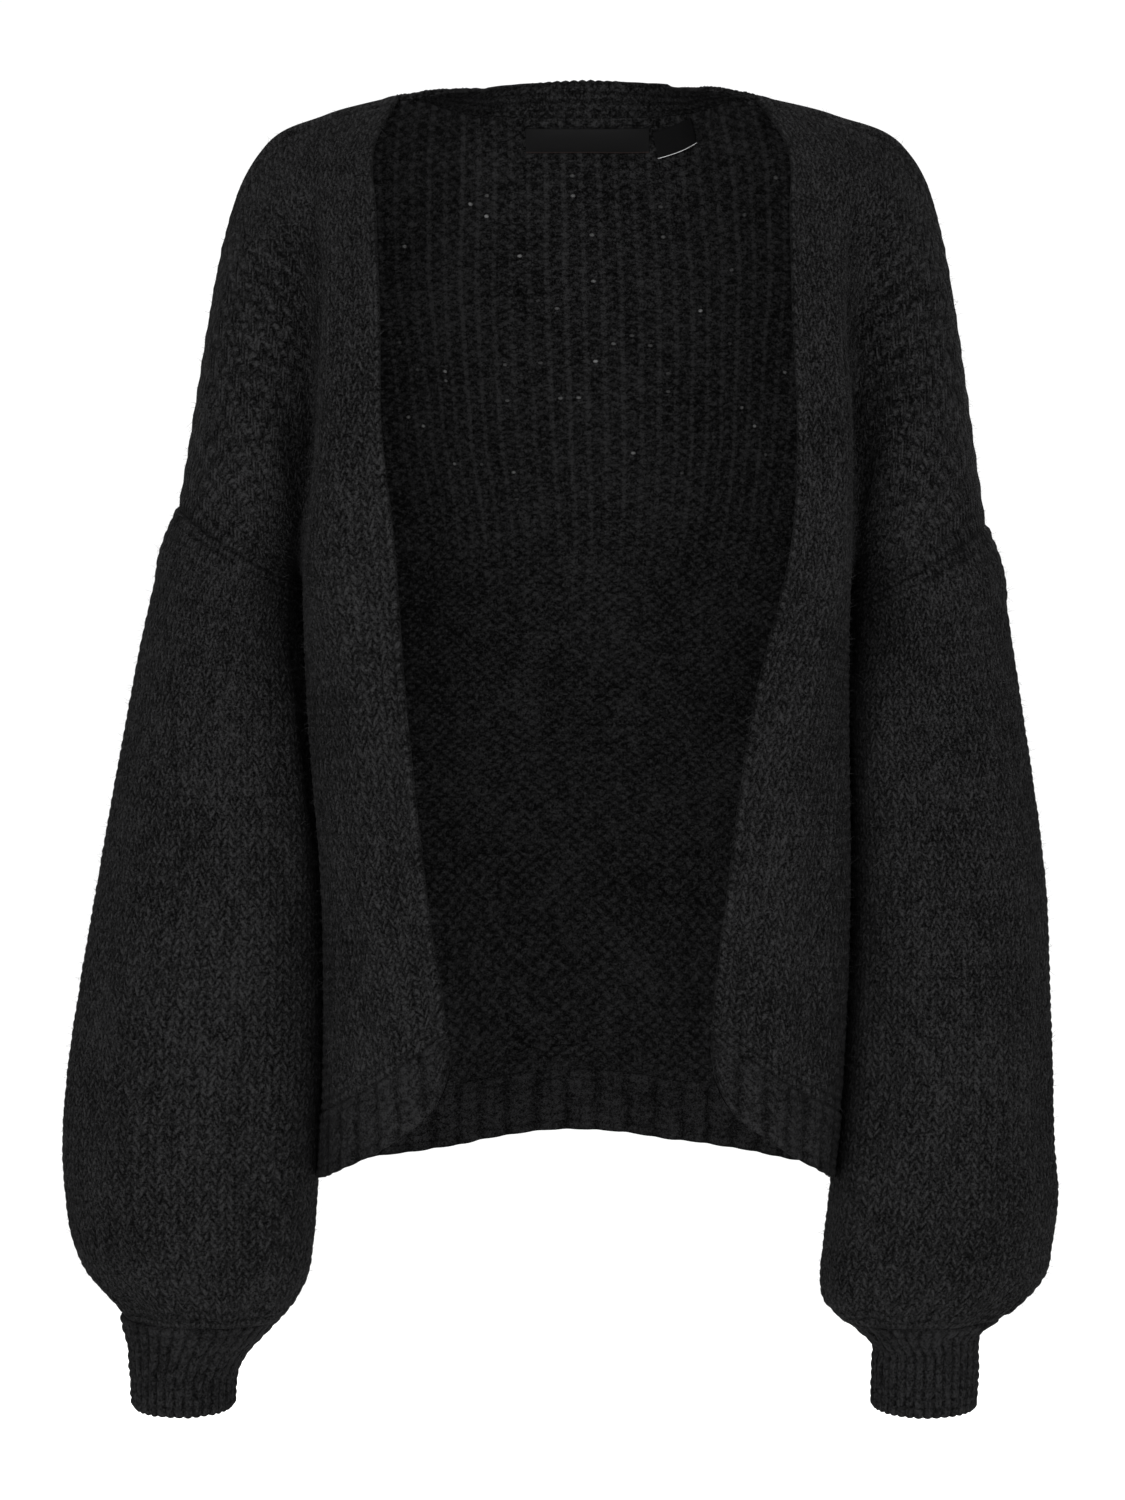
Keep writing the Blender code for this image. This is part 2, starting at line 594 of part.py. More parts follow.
def build_neckband():
    """The band stands up at the middle of the back and lies down towards each shoulder."""
    points, normals = back_grid(panel_down(), back_across())
    middle = points.shape[1] // 2
    neck = slice(middle - NECK_COLUMNS, middle + NECK_COLUMNS + 1)
    foot, below, foot_out = points[0, neck], points[1, neck], normals[0, neck]
    rising = foot - below
    rising = unit(rising - foot_out * np.einsum("ij,ij->i", rising, foot_out)[:, None])
    share = np.linspace(-1, 1, len(foot))
    along = unit(np.gradient(foot, axis=0))
    inward = unit(np.cross(along, [0.0, 0.0, 1.0]))
    shoulder = np.stack([-np.sign(share), 0 * share, 0 * share], axis=1)
    to_end = smoothstep(NECKBAND_TURN, 1.0, np.abs(share))[:, None]
    inward = unit(inward * (1 - to_end) + shoulder * to_end)
    lean = NECKBAND_LEAN * smoothstep(0.0, NECKBAND_LEAN_BY, np.abs(share))[:, None]
    upward = np.array([0.0, 0.0, 1.0]) * np.cos(lean) + inward * np.sin(lean)
    start = foot + rising * SEAM_GAP
    start[[0, -1], 1] += SEAM_GAP / 2
    steps = np.linspace(0, 1, NECKBAND_ROWS + 1)
    rows = np.array([start + upward * NECKBAND_HEIGHT * step for step in steps])
    normals = outward(rows, grid_normals(rows), rows - foot_out)
    normals[0] = foot_out
    normals[:, [0, -1], 1] = 0.0
    normals = unit(normals)
    wall("neckband", rows, rows - normals * NECKBAND_WALL, RIB_KNIT)


def inside_of_back(xs, drops):
    """Points and outward normals on the inner face of the back, one for each place given
    by its distance from the middle and its drop below the neckline."""
    rows_read, columns_read = 13, 30
    levels = np.linspace(0.0, LABEL_REACH, rows_read)
    points, normals = back_grid(levels, np.linspace(0.0, BACK_PLACES[2], columns_read))
    faces = np.concatenate([points - normals * WALL, normals], axis=2)
    rows = []
    for row in faces:
        order = np.argsort(row[:, 0])
        rows.append([np.interp(xs, row[order, 0], row[order, k]) for k in range(6)])
    rows = np.array(rows)
    share = np.clip(drops / levels[1], 0, rows_read - 1 - TINY)
    row = share.astype(int)
    part = share - row
    places = np.indices(xs.shape)
    read = np.stack([rows[row, k, places[0], places[1]] * (1 - part)
                     + rows[row + 1, k, places[0], places[1]] * part for k in range(6)], axis=-1)
    return read[..., :3], unit(read[..., 3:])


def build_label():
    rows, columns = LABEL_GRID
    along, level = np.meshgrid(np.linspace(-0.5, 0.5, columns), np.linspace(0, 1, rows))
    xs = LABEL_CENTRE_X + along * LABEL_WIDTH
    points, outs = inside_of_back(xs, LABEL_TOP_DROP + level * LABEL_HEIGHT)
    points = points - outs * (SEAM_GAP + LABEL_CREST)
    wall("neck_label", points, points - outs * LABEL_WALL, BLACK_SATIN)


def build_tab():
    """The tab hangs by its inner end and tilts up and away from the cloth."""
    rows, columns = TAB_GRID
    along, level = np.meshgrid(np.linspace(0, TAB_WIDTH, columns),
                               np.linspace(0, TAB_HEIGHT, rows))
    xs = LABEL_CENTRE_X + LABEL_WIDTH / 2 + TAB_GAP + along * math.cos(TAB_TILT)
    xs = xs + level * math.sin(TAB_TILT)
    drops = TAB_DROP + level * math.cos(TAB_TILT) - along * math.sin(TAB_TILT)
    points, outs = inside_of_back(xs, drops)
    points = points - outs * (SEAM_GAP + LABEL_CREST + TAB_LIFT * along[..., None] / TAB_WIDTH)
    wall("care_tab", points, points - outs * LABEL_WALL, BLACK_SATIN)


for old in list(bpy.data.objects):
    bpy.data.objects.remove(old, do_unlink=True)
garment = bpy.data.collections.new("cardigan")
bpy.context.scene.collection.children.link(garment)

build_back()
build_hem_back()
for which in SIDES:
    build_front(which)
    build_hem_front(which)
    build_sleeve(which)
    build_cuff(which)
build_neckband()
build_label()
build_tab()
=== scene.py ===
import math
from collections import namedtuple
from functools import partial, partialmethod

import bpy
import numpy as np
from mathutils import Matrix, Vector


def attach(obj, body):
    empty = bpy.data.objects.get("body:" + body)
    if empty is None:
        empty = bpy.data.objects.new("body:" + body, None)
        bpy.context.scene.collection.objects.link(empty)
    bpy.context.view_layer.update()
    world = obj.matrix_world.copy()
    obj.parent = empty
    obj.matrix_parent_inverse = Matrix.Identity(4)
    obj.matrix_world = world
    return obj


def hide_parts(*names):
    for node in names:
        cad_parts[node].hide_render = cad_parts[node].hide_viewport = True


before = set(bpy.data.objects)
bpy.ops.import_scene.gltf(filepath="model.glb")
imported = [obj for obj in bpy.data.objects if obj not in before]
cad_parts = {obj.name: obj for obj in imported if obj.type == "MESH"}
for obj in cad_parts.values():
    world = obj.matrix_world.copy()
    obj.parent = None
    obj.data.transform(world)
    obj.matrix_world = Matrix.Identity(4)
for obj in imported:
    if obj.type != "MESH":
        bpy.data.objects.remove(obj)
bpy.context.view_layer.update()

MM = 0.001

# ==================================================================== the back panel
# One knitted piece, plain stockinette in a chunky brushed yarn, from the neck to the top
# of the hem rib. Its smooth side with the V stitches looks out, its bumpy purl side in.
# It is sewn to the fronts along the shoulders and sides, and to the sleeves low on the arm.
SIDES = {"left": -1.0, "right": 1.0}
FRONT_WALES = 22
SLEEVE_WALES, SLEEVE_COURSES = 52, 80
WALL = 3.0
BODY_BOTTOM = 530.0      # millimetres of cloth below the shoulder, down to the hem rib
BODY_COURSES = 96        # rows of stitches down the body
BACK_WALES = 60          # columns of stitches across the back

Armhole = namedtuple("Armhole", "top foot half_depth")
ARMHOLES = {
    "left": Armhole(top=(218.5, -226.0), foot=(150.0, -270.0), half_depth=68.0),
    "right": Armhole(top=(226.5, -236.0), foot=(150.0, -280.0), half_depth=68.0),
}
BackCourse = namedtuple("BackCourse", "down middle blade shoulder turn fold lobe end")
BACK_COURSES = (
    BackCourse(0, (0, 70, -10), (60, 55, -8.5), (103, 4, -2.4),
               (140, 1, -12), (176.5, 0, -30.5), (197.5, 0, -79), 0),
    BackCourse(30, (0, 84, -41), (60, 74, -40), (108, 34, -31),
               (142, 35, -41), (171, 35, -62), (195, 33, -106), -26),
    BackCourse(75, (0, 98, -86), (61, 95, -87), (108, 68, -82),
               (140, 61, -88), (160, 54, -105), (184, 56, -148), -56),
    BackCourse(130, (0, 107, -137), (62, 107, -139), (106, 90, -136),
               (137, 78, -143), (150, 52, -156), (168, 64, -190), -92),
    BackCourse(185, (0, 110, -189), (62, 110, -191), (105, 96, -190),
               (136, 82, -195), (148, 44, -207), (157, 54, -232), -130),
    BackCourse(240, (0, 108, -241), (62, 108, -243), (105, 94, -244),
               (134, 82, -248), (153, 52, -257), (151, 24, -267), -180),
    BackCourse(337, (0, 103, -336), (62, 101, -338), (104, 83, -340),
               (132, 78, -341), (156, 52, -342), (150, 24, -342), (147, -341)),
    BackCourse(437, (0, 108, -438), (61, 104, -441), (102, 87, -443),
               (132, 80, -445), (154.5, 53, -446), (148.5, 25, -447), (145, -446)),
    BackCourse(530, (0, 122, -561), (60, 116, -565.5), (101, 98, -570),
               (130, 84, -572), (151, 54, -570), (146.5, 26, -566), (143.5, -562)),
    BackCourse(566, (0, 124, -597), (60, 118, -601.5), (100, 99, -606),
               (129, 84, -608), (150, 54, -606), (145.5, 26, -602), (142.5, -598)),
)
BACK_PLACES = (0.0, 0.24, 0.44, 0.58, 0.71, 0.84, 1.0)
SHOULDER_PLACES = 5      # the places from the neck point out to the end of a course

Sway = namedtuple("Sway", "height edge side")
SWAY = (
    Sway(-600, 4.0, 0.0), Sway(-565, 4.0, 3.0), Sway(-530, 3.5, 5.0), Sway(-480, 1.5, 6.5),
    Sway(-430, 1.0, 6.0), Sway(-380, 1.0, 3.5), Sway(-330, 2.5, 1.5), Sway(-280, 7.0, 0.0),
    Sway(-236, 9.6, 2.5), Sway(-180, 7.5, 5.0), Sway(-100, 5.2, 4.4), Sway(-30, 3.0, 4.9),
    Sway(0, 1.0, 1.0),
)
SWAY_EDGE_TO, SWAY_SIDE_FROM = 112.0, 148.0
UNDERARM_OUT = (0.29, 0.0, -0.96)
SEAM_LINE_DEPTH = 40.0


def smoothstep(low, high, value):
    u = np.clip((np.asarray(value, float) - low) / (high - low), 0, 1)
    return u * u * (3 - 2 * u)


def unit(vectors):
    return vectors / np.linalg.norm(vectors, axis=-1, keepdims=True)


def tangents_of(knots, points):
    """Tangents of a smooth curve through points, one per knot along the first axis."""
    gaps = np.diff(knots).reshape(-1, *[1] * (points.ndim - 1))
    slopes = np.diff(points, axis=0) / gaps
    inner = (slopes[:-1] * gaps[1:] + slopes[1:] * gaps[:-1]) / (gaps[:-1] + gaps[1:])
    return np.concatenate([slopes[:1], inner, slopes[-1:]]), slopes


def blend(u, width, start, end, leave, arrive):
    return ((2 * u**3 - 3 * u**2 + 1) * start + (u**3 - 2 * u**2 + u) * width * leave
            + (3 * u**2 - 2 * u**3) * end + (u**3 - u**2) * width * arrive)


def curve_through(knots, points, at):
    """A smooth curve through points, read at a list of places."""
    knots, points = np.asarray(knots, float), np.asarray(points, float)
    tangents, _ = tangents_of(knots, points)
    at = np.clip(at, knots[0], knots[-1])
    span = np.clip(np.searchsorted(knots, at, side="right") - 1, 0, len(knots) - 2)
    shape = (-1, *[1] * (points.ndim - 1))
    width = np.diff(knots)[span].reshape(shape)
    u = (at - knots[span]).reshape(shape) / width
    return blend(u, width, points[span], points[span + 1], tangents[span], tangents[span + 1])


def sway(points):
    heights = [row.height for row in SWAY]
    edge = np.interp(points[..., 2], heights, [row.edge for row in SWAY])
    side = np.interp(points[..., 2], heights, [row.side for row in SWAY])
    share = smoothstep(SWAY_EDGE_TO, SWAY_SIDE_FROM, np.abs(points[..., 0]))
    moved = points.copy()
    moved[..., 0] += edge * (1 - share) + side * share
    return moved


def armhole_frame(side):
    """The middle of the armhole ring, and the reach from there to its top."""
    ring, sign = ARMHOLES[side], SIDES[side]
    top = np.array([sign * ring.top[0], 0.0, ring.top[1]])
    foot = np.array([sign * ring.foot[0], 0.0, ring.foot[1]])
    return (top + foot) / 2, (top - foot) / 2


def armhole_point(side, degrees):
    middle, reach = armhole_frame(side)
    turn = np.radians(np.asarray(degrees, float))[..., None]
    depth = np.array([0.0, -ARMHOLES[side].half_depth, 0.0])
    return middle + reach * np.cos(turn) + depth * np.sin(turn)


def armhole_outward(side, degrees):
    _, reach = armhole_frame(side)
    turn = np.radians(np.asarray(degrees, float))[..., None]
    forward = np.array([0.0, -1.0, 0.0]) / ARMHOLES[side].half_depth
    return unit(reach / np.linalg.norm(reach)**2 * np.cos(turn) + forward * np.sin(turn))


def underarm(courses):
    return max(course.down for course in courses if not isinstance(course.end, tuple))


def armhole_angle(courses, depth):
    held = [course for course in courses if not isinstance(course.end, tuple)]
    turns = curve_through([c.down for c in held], [c.end for c in held], np.ravel(depth))
    return turns.reshape(np.shape(depth))


def ends_of_courses(side, courses, depth):
    """Where each course ends: on the armhole ring, then on the side seam."""
    start = underarm(courses)
    knots, seam = [start], [armhole_point(side, 180.0)]
    for course in courses:
        if isinstance(course.end, tuple):
            x, z = course.end
            knots.append(course.down)
            seam.append(sway(np.array([SIDES[side] * x, 0.0, z])))
    on_ring = armhole_point(side, armhole_angle(courses, np.minimum(depth, start)))
    on_seam = curve_through(knots, seam, np.maximum(depth, start))
    return np.where((depth < start)[:, None], on_ring, on_seam)


def panel_points(side, courses, places, depth, across):
    """Points on a panel's outside, for grids of depth down the cloth and of share across."""
    shape, depth, across = depth.shape, depth.ravel(), across.ravel()
    knots = [course.down for course in courses]
    nets = sway(np.array([course[1:-1] for course in courses]) * [SIDES[side], 1.0, 1.0])
    held = list(curve_through(knots, nets, depth).transpose(1, 0, 2))
    held.append(ends_of_courses(side, courses, depth))
    places = list(places)
    seam_place = len(places) - SHOULDER_PLACES
    if seam_place:
        held.insert(0, held[1] * [-1, 1, 1] + held[0] * [2, 0, 0])
        places.insert(0, -places[1])
        seam_place += 1
    held, places = np.array(held), np.array(places)
    tangents, slopes = tangents_of(places, held)
    share = (1 - smoothstep(0, SEAM_LINE_DEPTH, depth))[:, None]
    tangents[seam_place] += (slopes[seam_place] - tangents[seam_place]) * share
    span = np.clip(np.searchsorted(places, across, side="right") - 1, 0, len(places) - 2)
    pick = np.arange(len(depth))
    width = np.diff(places)[span][:, None]
    u = (across - places[span])[:, None] / width
    points = blend(u, width, held[span, pick], held[span + 1, pick],
                   tangents[span, pick], tangents[span + 1, pick])
    return points.reshape(*shape, 3)


def grid_normals(points, wrap=False):
    if wrap:
        across = np.roll(points, -1, axis=1) - np.roll(points, 1, axis=1)
    else:
        across = np.gradient(points, axis=1)
    return unit(np.cross(np.gradient(points, axis=0), across))


def turned_out(points, normals, inside):
    facing = np.einsum("ijk,ijk->ij", normals, points - inside)
    return normals * (1.0 if facing.sum() > 0 else -1.0)


SEAM_BLEND = 6           # rows or columns over which a piece turns to meet the next squarely
BODY_MIDDLE = 60.0       # how far out the middle of each half of the body lies


def turn_edge(normals, way):
    """Turns the first rows of normals, less and less, to the way that a seam faces."""
    for k in range(min(SEAM_BLEND, len(normals))):
        share = k / SEAM_BLEND
        normals[k] = unit(normals[k] * share + way * (1 - share))


def panel(side, courses, places, depth, across):
    """Outside points and normals of a front or of one half of the back."""
    sign = SIDES[side]
    points = panel_points(side, courses, places, depth, across)
    inside = points * [0.0, 0.0, 1.0] + [sign * BODY_MIDDLE, 0.0, 0.0]
    normals = turned_out(points, grid_normals(points), inside)
    start = underarm(courses)
    down = depth[:, -1]
    seam = np.where((down < start)[:, None],
                    armhole_outward(side, armhole_angle(courses, np.minimum(down, start))),
                    np.array([sign, 0.0, 0.0]))
    under = (np.abs(down - start) < BODY_BOTTOM / BODY_COURSES / 2)[:, None]
    seam = np.where(under, unit(np.array(UNDERARM_OUT) * [sign, 1, 1]), seam)
    turn_edge(normals[:, ::-1].swapaxes(0, 1), seam)
    if depth[0, 0] == 0:
        up = unit(np.cross([0.0, 1.0, 0.0], np.gradient(points[0], axis=0)))
        up *= np.sign(up[:, 2:])
        neck = int(np.argmax(across[0] >= places[-SHOULDER_PLACES] - 1e-6))
        turn_edge(normals[:, neck:], up[neck:])
    return points, normals


# ---- knitted walls: a grid of stitches outside, another inside, joined round the edges
Stitches = namedtuple("Stitches", "wales courses columns rows slant")
SLANT = 1.1              # how far, in courses, each leg of a V stitch climbs


def stitch_lines(stitches, wrap=False):
    """Wale number and course number of each point of a grid whose rows follow the Vs.

    Near the edges the rows run straight, so that the piece ends in a clean line."""
    wale, line = np.meshgrid(
        np.arange(stitches.wales * stitches.columns + (0 if wrap else 1)) / stitches.columns,
        np.arange(stitches.courses * stitches.rows + 1) / stitches.rows)
    edge = np.minimum(line, stitches.courses - line)
    fade = smoothstep(0.0, 3.0, edge)
    if not wrap:
        fade = fade * smoothstep(0.0, 0.6, np.minimum(wale, stitches.wales - wale))
    climb = stitches.slant * np.abs(2 * (wale % 1) - 1)
    return wale, line, line - (climb - stitches.slant / 2) * fade


def faced_out(mesh):
    """Turns a closed mesh's faces outward and shades it smooth."""
    if sum(p.center.dot(p.normal) * p.area for p in mesh.polygons) < 0:
        mesh.flip_normals()
    mesh.shade_smooth()


def placed(name, data):
    """A new object in the scene, at the origin."""
    made = bpy.data.objects.new(name, data)
    bpy.context.scene.collection.objects.link(made)
    return made


def knitted_wall(name, outside, inside, wrap=False, sewn="tblr"):
    """A closed wall of cloth. Each face of it is (shape, stitches, depth): shape gives the
    piece's outer points and normals for wale and course numbers, and depth is how far below
    them the face lies. The inside may have fewer points to each stitch. Marks every point for
    the stitch tree, which leaves the sewn edges flat: t, b, l and r for top, bottom, left and
    right."""
    places, marks, faces, corners, looks, grids = [], [], [], [], [], []
    start = 0
    for side, (shape, stitches, depth) in enumerate((outside, inside)):
        wale, line, course = stitch_lines(stitches, wrap)
        points, normals = shape(wale, course)
        rows, columns = wale.shape
        places.append((points - normals * depth).reshape(-1, 3))
        marks.append(np.stack([wale, line, np.full_like(wale, side)], axis=-1).reshape(-1, 3))
        grid = start + np.arange(rows * columns).reshape(rows, columns)
        if wrap:
            grid = np.concatenate([grid, grid[:, :1]], axis=1)
            wale = np.concatenate([wale, wale[:, -1:] + 1.0 / stitches.columns], axis=1)
            line = np.concatenate([line, line[:, :1]], axis=1)
        quad, uv = (np.stack([g[:-1, :-1], g[1:, :-1], g[1:, 1:], g[:-1, 1:]], axis=2)
                    for g in (grid, np.stack([wale, line], axis=-1)))
        if side:
            quad, uv = quad[:, :, ::-1], uv[:, :, ::-1]
        faces.extend(quad.reshape(-1, 4).tolist())
        corners.append(uv.reshape(-1, 2))
        looks.extend([side] * (quad.size // 4))
        grids.append(grid)
        start += rows * columns
    all_places, all_marks = np.concatenate(places) * MM, np.concatenate(marks)
    hold = np.ones(len(all_places), np.float32)
    wide, tall = zip(*((face[1].columns, face[1].rows) for face in (outside, inside)))
    edges = [("t", [g[0] for g in grids], wide, False), ("b", [g[-1] for g in grids], wide, True)]
    if not wrap:
        edges += [("l", [g[:, 0] for g in grids], tall, True),
                  ("r", [g[:, -1] for g in grids], tall, False)]
    for edge, (outer, inner), (per_out, per_in), turned in edges:
        if edge in sewn:
            hold[outer], hold[inner] = 0.0, 0.0
        for k in range((len(outer) - 1) // per_out):
            loop = list(outer[k * per_out:(k + 1) * per_out + 1])
            loop += list(inner[k * per_in:(k + 1) * per_in + 1][::-1])
            loop = loop[::-1] if turned else loop
            faces.append([int(v) for v in loop])
            corners.append(all_marks[loop, :2])
            looks.append(0)
    mesh = bpy.data.meshes.new(name)
    mesh.from_pydata(all_places.tolist(), [], faces)
    uv_map = mesh.uv_layers.new(name="knit")
    uv_map.data.foreach_set("uv", np.concatenate(corners).astype(np.float32).ravel())
    mark = mesh.attributes.new("stitch", "FLOAT_VECTOR", "POINT")
    mark.data.foreach_set("vector", all_marks.astype(np.float32).ravel())
    mesh.attributes.new("raise", "FLOAT", "POINT").data.foreach_set("value", hold)
    inner_face = mesh.attributes.new("inner_face", "FLOAT", "FACE")
    inner_face.data.foreach_set("value", np.array(looks, np.float32))
    faced_out(mesh)
    return placed(name, mesh)


# ---- maths on sockets: an expression on these adds its nodes, in either kind of tree
class Wire:
    def __init__(self, tree, socket):
        self.tree, self.socket = tree, socket

    @staticmethod
    def node(tree, kind, values=(), output=0, **settings):
        """Adds a node: its settings first, then the values or wires of its sockets."""
        made = tree.nodes.new(kind)
        for name, value in settings.items():
            setattr(made, name, value)
        for name, value in dict(values).items():
            if isinstance(value, Wire):
                value.into(made.inputs[name])
            else:
                made.inputs[name].default_value = value
        return Wire(tree, made.outputs[output])

    def into(self, socket):
        self.tree.links.new(self.socket, socket)

    def also(self, output):
        """Another output of the same node."""
        return Wire(self.tree, self.socket.node.outputs[output])

    def math(self, operation, *others):
        return Wire.node(self.tree, "ShaderNodeMath", enumerate((self, *others)),
                         operation=operation)

    __add__ = __radd__ = partialmethod(math, "ADD")
    __mul__ = __rmul__ = partialmethod(math, "MULTIPLY")
    __sub__ = partialmethod(math, "SUBTRACT")
    __truediv__ = partialmethod(math, "DIVIDE")
    __pow__ = partialmethod(math, "POWER")
    fract = partialmethod(math, "FRACT")
    whole = partialmethod(math, "FLOOR")
    size = partialmethod(math, "ABSOLUTE")
    at_least = partialmethod(math, "MAXIMUM")

    def __rsub__(self, other):
        return self * -1.0 + other

    def between(self, low, high):
        """0 up to low, 1 from high, smooth between."""
        return Wire.node(self.tree, "ShaderNodeMapRange",
                         {"Value": self, "From Min": low, "From Max": high},
                         interpolation_type="SMOOTHSTEP")

    def wave(self, times):
        """A wave from 0 to 1 that comes so many times between two whole numbers."""
        return (self * (2 * math.pi * times)).math("SINE") * 0.5 + 0.5

    def split(self):
        """The three parts of a vector."""
        first = Wire.node(self.tree, "ShaderNodeSeparateXYZ", {0: self})
        return first, first.also(1), first.also(2)

    def noise(self, scale, detail=2.0, roughness=0.5, distortion=0.0, output=0):
        """Cloudy noise at the place that this wire gives."""
        return Wire.node(self.tree, "ShaderNodeTexNoise",
                         {"Vector": self, "Scale": scale, "Detail": detail,
                          "Roughness": roughness, "Distortion": distortion}, output)

    def mix(self, low, high):
        """From one colour to another as this wire goes from 0 to 1."""
        low, high = (end if isinstance(end, Wire) else (*end, 1.0) for end in (low, high))
        return Wire.node(self.tree, "ShaderNodeMix", {0: self, 6: low, 7: high}, 2,
                         data_type="RGBA")


def leg_relief(wale, line):
    """Height of stockinette's V stitches, 0 to 1. Each wale holds two legs side by side;
    a leg lies between two lines, highest halfway along."""
    across = (wale.fract() * 2 - 1).size() * 2 - 1
    along = line.fract() * 2 - 1
    return (1 - along * along) * (1 - across * across * 0.8)


def purl_relief(wale, line):
    """Height of the bumps on the purl side, 0 to 1: an arch over each wale, and half a
    course lower a bowl between two wales."""
    def bump(to_side, to_line, bend):
        bent = to_line + to_side * to_side * bend
        return (1 - to_side * to_side * 4.5 - bent ** 2 * 9).at_least(0.0)
    over = bump(wale.fract() - 0.5, (line + 0.5).fract() - 0.5, -0.9)
    under = bump((wale + 0.5).fract() - 0.5, line.fract() - 0.5, 0.9)
    return over.at_least(under)


def rib_relief(wale, line):
    """Height of a rib, 0 to 1: a rounded ridge of V stitches and a hollow between ridges."""
    from_crown = wale.fract() * 2 - 1
    ridge = 1 - from_crown * from_crown
    return (0.30 + 0.70 * ridge) * (0.55 + 0.45 * leg_relief(wale, line))


# ---- node trees for what repeats: each raises or plants something on a marked wall
STITCH_NOISE = 130.0     # scale of the unevenness of the stitches


def new_tree(name, inputs):
    """A geometry node tree, its inputs as wires, and their identifiers by name."""
    tree = bpy.data.node_groups.new(name, "GeometryNodeTree")
    tree.interface.new_socket("Geometry", in_out="OUTPUT", socket_type="NodeSocketGeometry")
    sockets = {}
    for label, kind in {"Geometry": "Geometry", **inputs}.items():
        made = tree.interface.new_socket(label, in_out="INPUT", socket_type="NodeSocket" + kind)
        sockets[label] = made.identifier
    begin = tree.nodes.new("NodeGroupInput")
    return tree, {socket.name: Wire(tree, socket) for socket in begin.outputs}, sockets


def marked(tree, name, kind="FLOAT"):
    """One of the marks that knitted_wall leaves."""
    return Wire.node(tree, "GeometryNodeInputNamedAttribute", {"Name": name}, data_type=kind)


def finish_tree(tree, geometry, yarns):
    """Ends a tree with real instances, and each yarn on the faces chosen for it."""
    done = Wire.node(tree, "GeometryNodeRealizeInstances", {"Geometry": geometry})
    for yarn, chosen in yarns:
        done = Wire.node(tree, "GeometryNodeSetMaterial",
                         {"Geometry": done, "Selection": chosen, "Material": yarn})
    done.into(tree.nodes.new("NodeGroupOutput").inputs[0])


def grown(piece, tree, sockets, given):
    """The mesh that a node tree makes of a piece, with the tree's inputs given by name."""
    modifier = piece.modifiers.new(tree.name, "NODES")
    modifier.node_group = tree
    for label, value in given.items():
        modifier[sockets[label]] = value
    graph = bpy.context.evaluated_depsgraph_get()
    mesh = bpy.data.meshes.new_from_object(piece.evaluated_get(graph), depsgraph=graph)
    mesh.materials.pop(index=0)      # the empty slot that a mesh without materials starts with
    piece.modifiers.remove(modifier)
    return mesh


def stitch_tree(name, out_relief, in_relief):
    """A node tree that raises the stitches of a marked wall along its normals, and puts one
    yarn on the outside and another on the inside."""
    tree, given, sockets = new_tree(name, {
        "Outside rise": "Float", "Inside rise": "Float", "Unevenness": "Float",
        "Outside yarn": "Material", "Inside yarn": "Material"})
    add = partial(Wire.node, tree)
    wale, line, side = marked(tree, "stitch", "FLOAT_VECTOR").split()
    outer = out_relief(wale, line) * given["Outside rise"]
    inner = in_relief(wale, line) * given["Inside rise"]
    noise = add("GeometryNodeInputPosition").noise(STITCH_NOISE)
    uneven = 1 + (noise - 0.5) * given["Unevenness"]
    lift = (outer * (1 - side) + inner * side) * marked(tree, "raise") * uneven
    offset = add("ShaderNodeVectorMath", {0: add("GeometryNodeInputNormal"), "Scale": lift},
                 operation="SCALE")
    moved = add("GeometryNodeSetPosition", {"Geometry": given["Geometry"], "Offset": offset})
    inner_face = marked(tree, "inner_face")
    finish_tree(tree, moved, ((given["Outside yarn"], 1 - inner_face),
                              (given["Inside yarn"], inner_face)))
    return tree, sockets


def raise_stitches(piece, tree_and_sockets, outside, inside, yarns, uneven=1.6):
    """Runs a stitch tree on a wall and keeps the result as the piece's own mesh."""
    plain = piece.data
    piece.data = grown(piece, *tree_and_sockets, {
        "Outside rise": outside * MM, "Inside rise": inside * MM, "Unevenness": uneven,
        "Outside yarn": yarns[0], "Inside yarn": yarns[1]})
    piece.data.name = piece.name
    bpy.data.meshes.remove(plain)


STOCKINETTE = stitch_tree("stockinette_stitches", leg_relief, purl_relief)


# ---- fuzz: the fibre ends that brushing draws up out of the yarn
HAIRS_PER_SQUARE_METRE, HAIR_LENGTH, HAIR_THICKNESS = 24000.0, 4.2, 0.16
HAIR_BEND, HAIR_SHORTEST, HAIR_LONGEST = 0.7, 0.5, 1.25
HAIR_LEAN = (1.15, 1.15, 3.14)      # the most that a hair turns about each axis


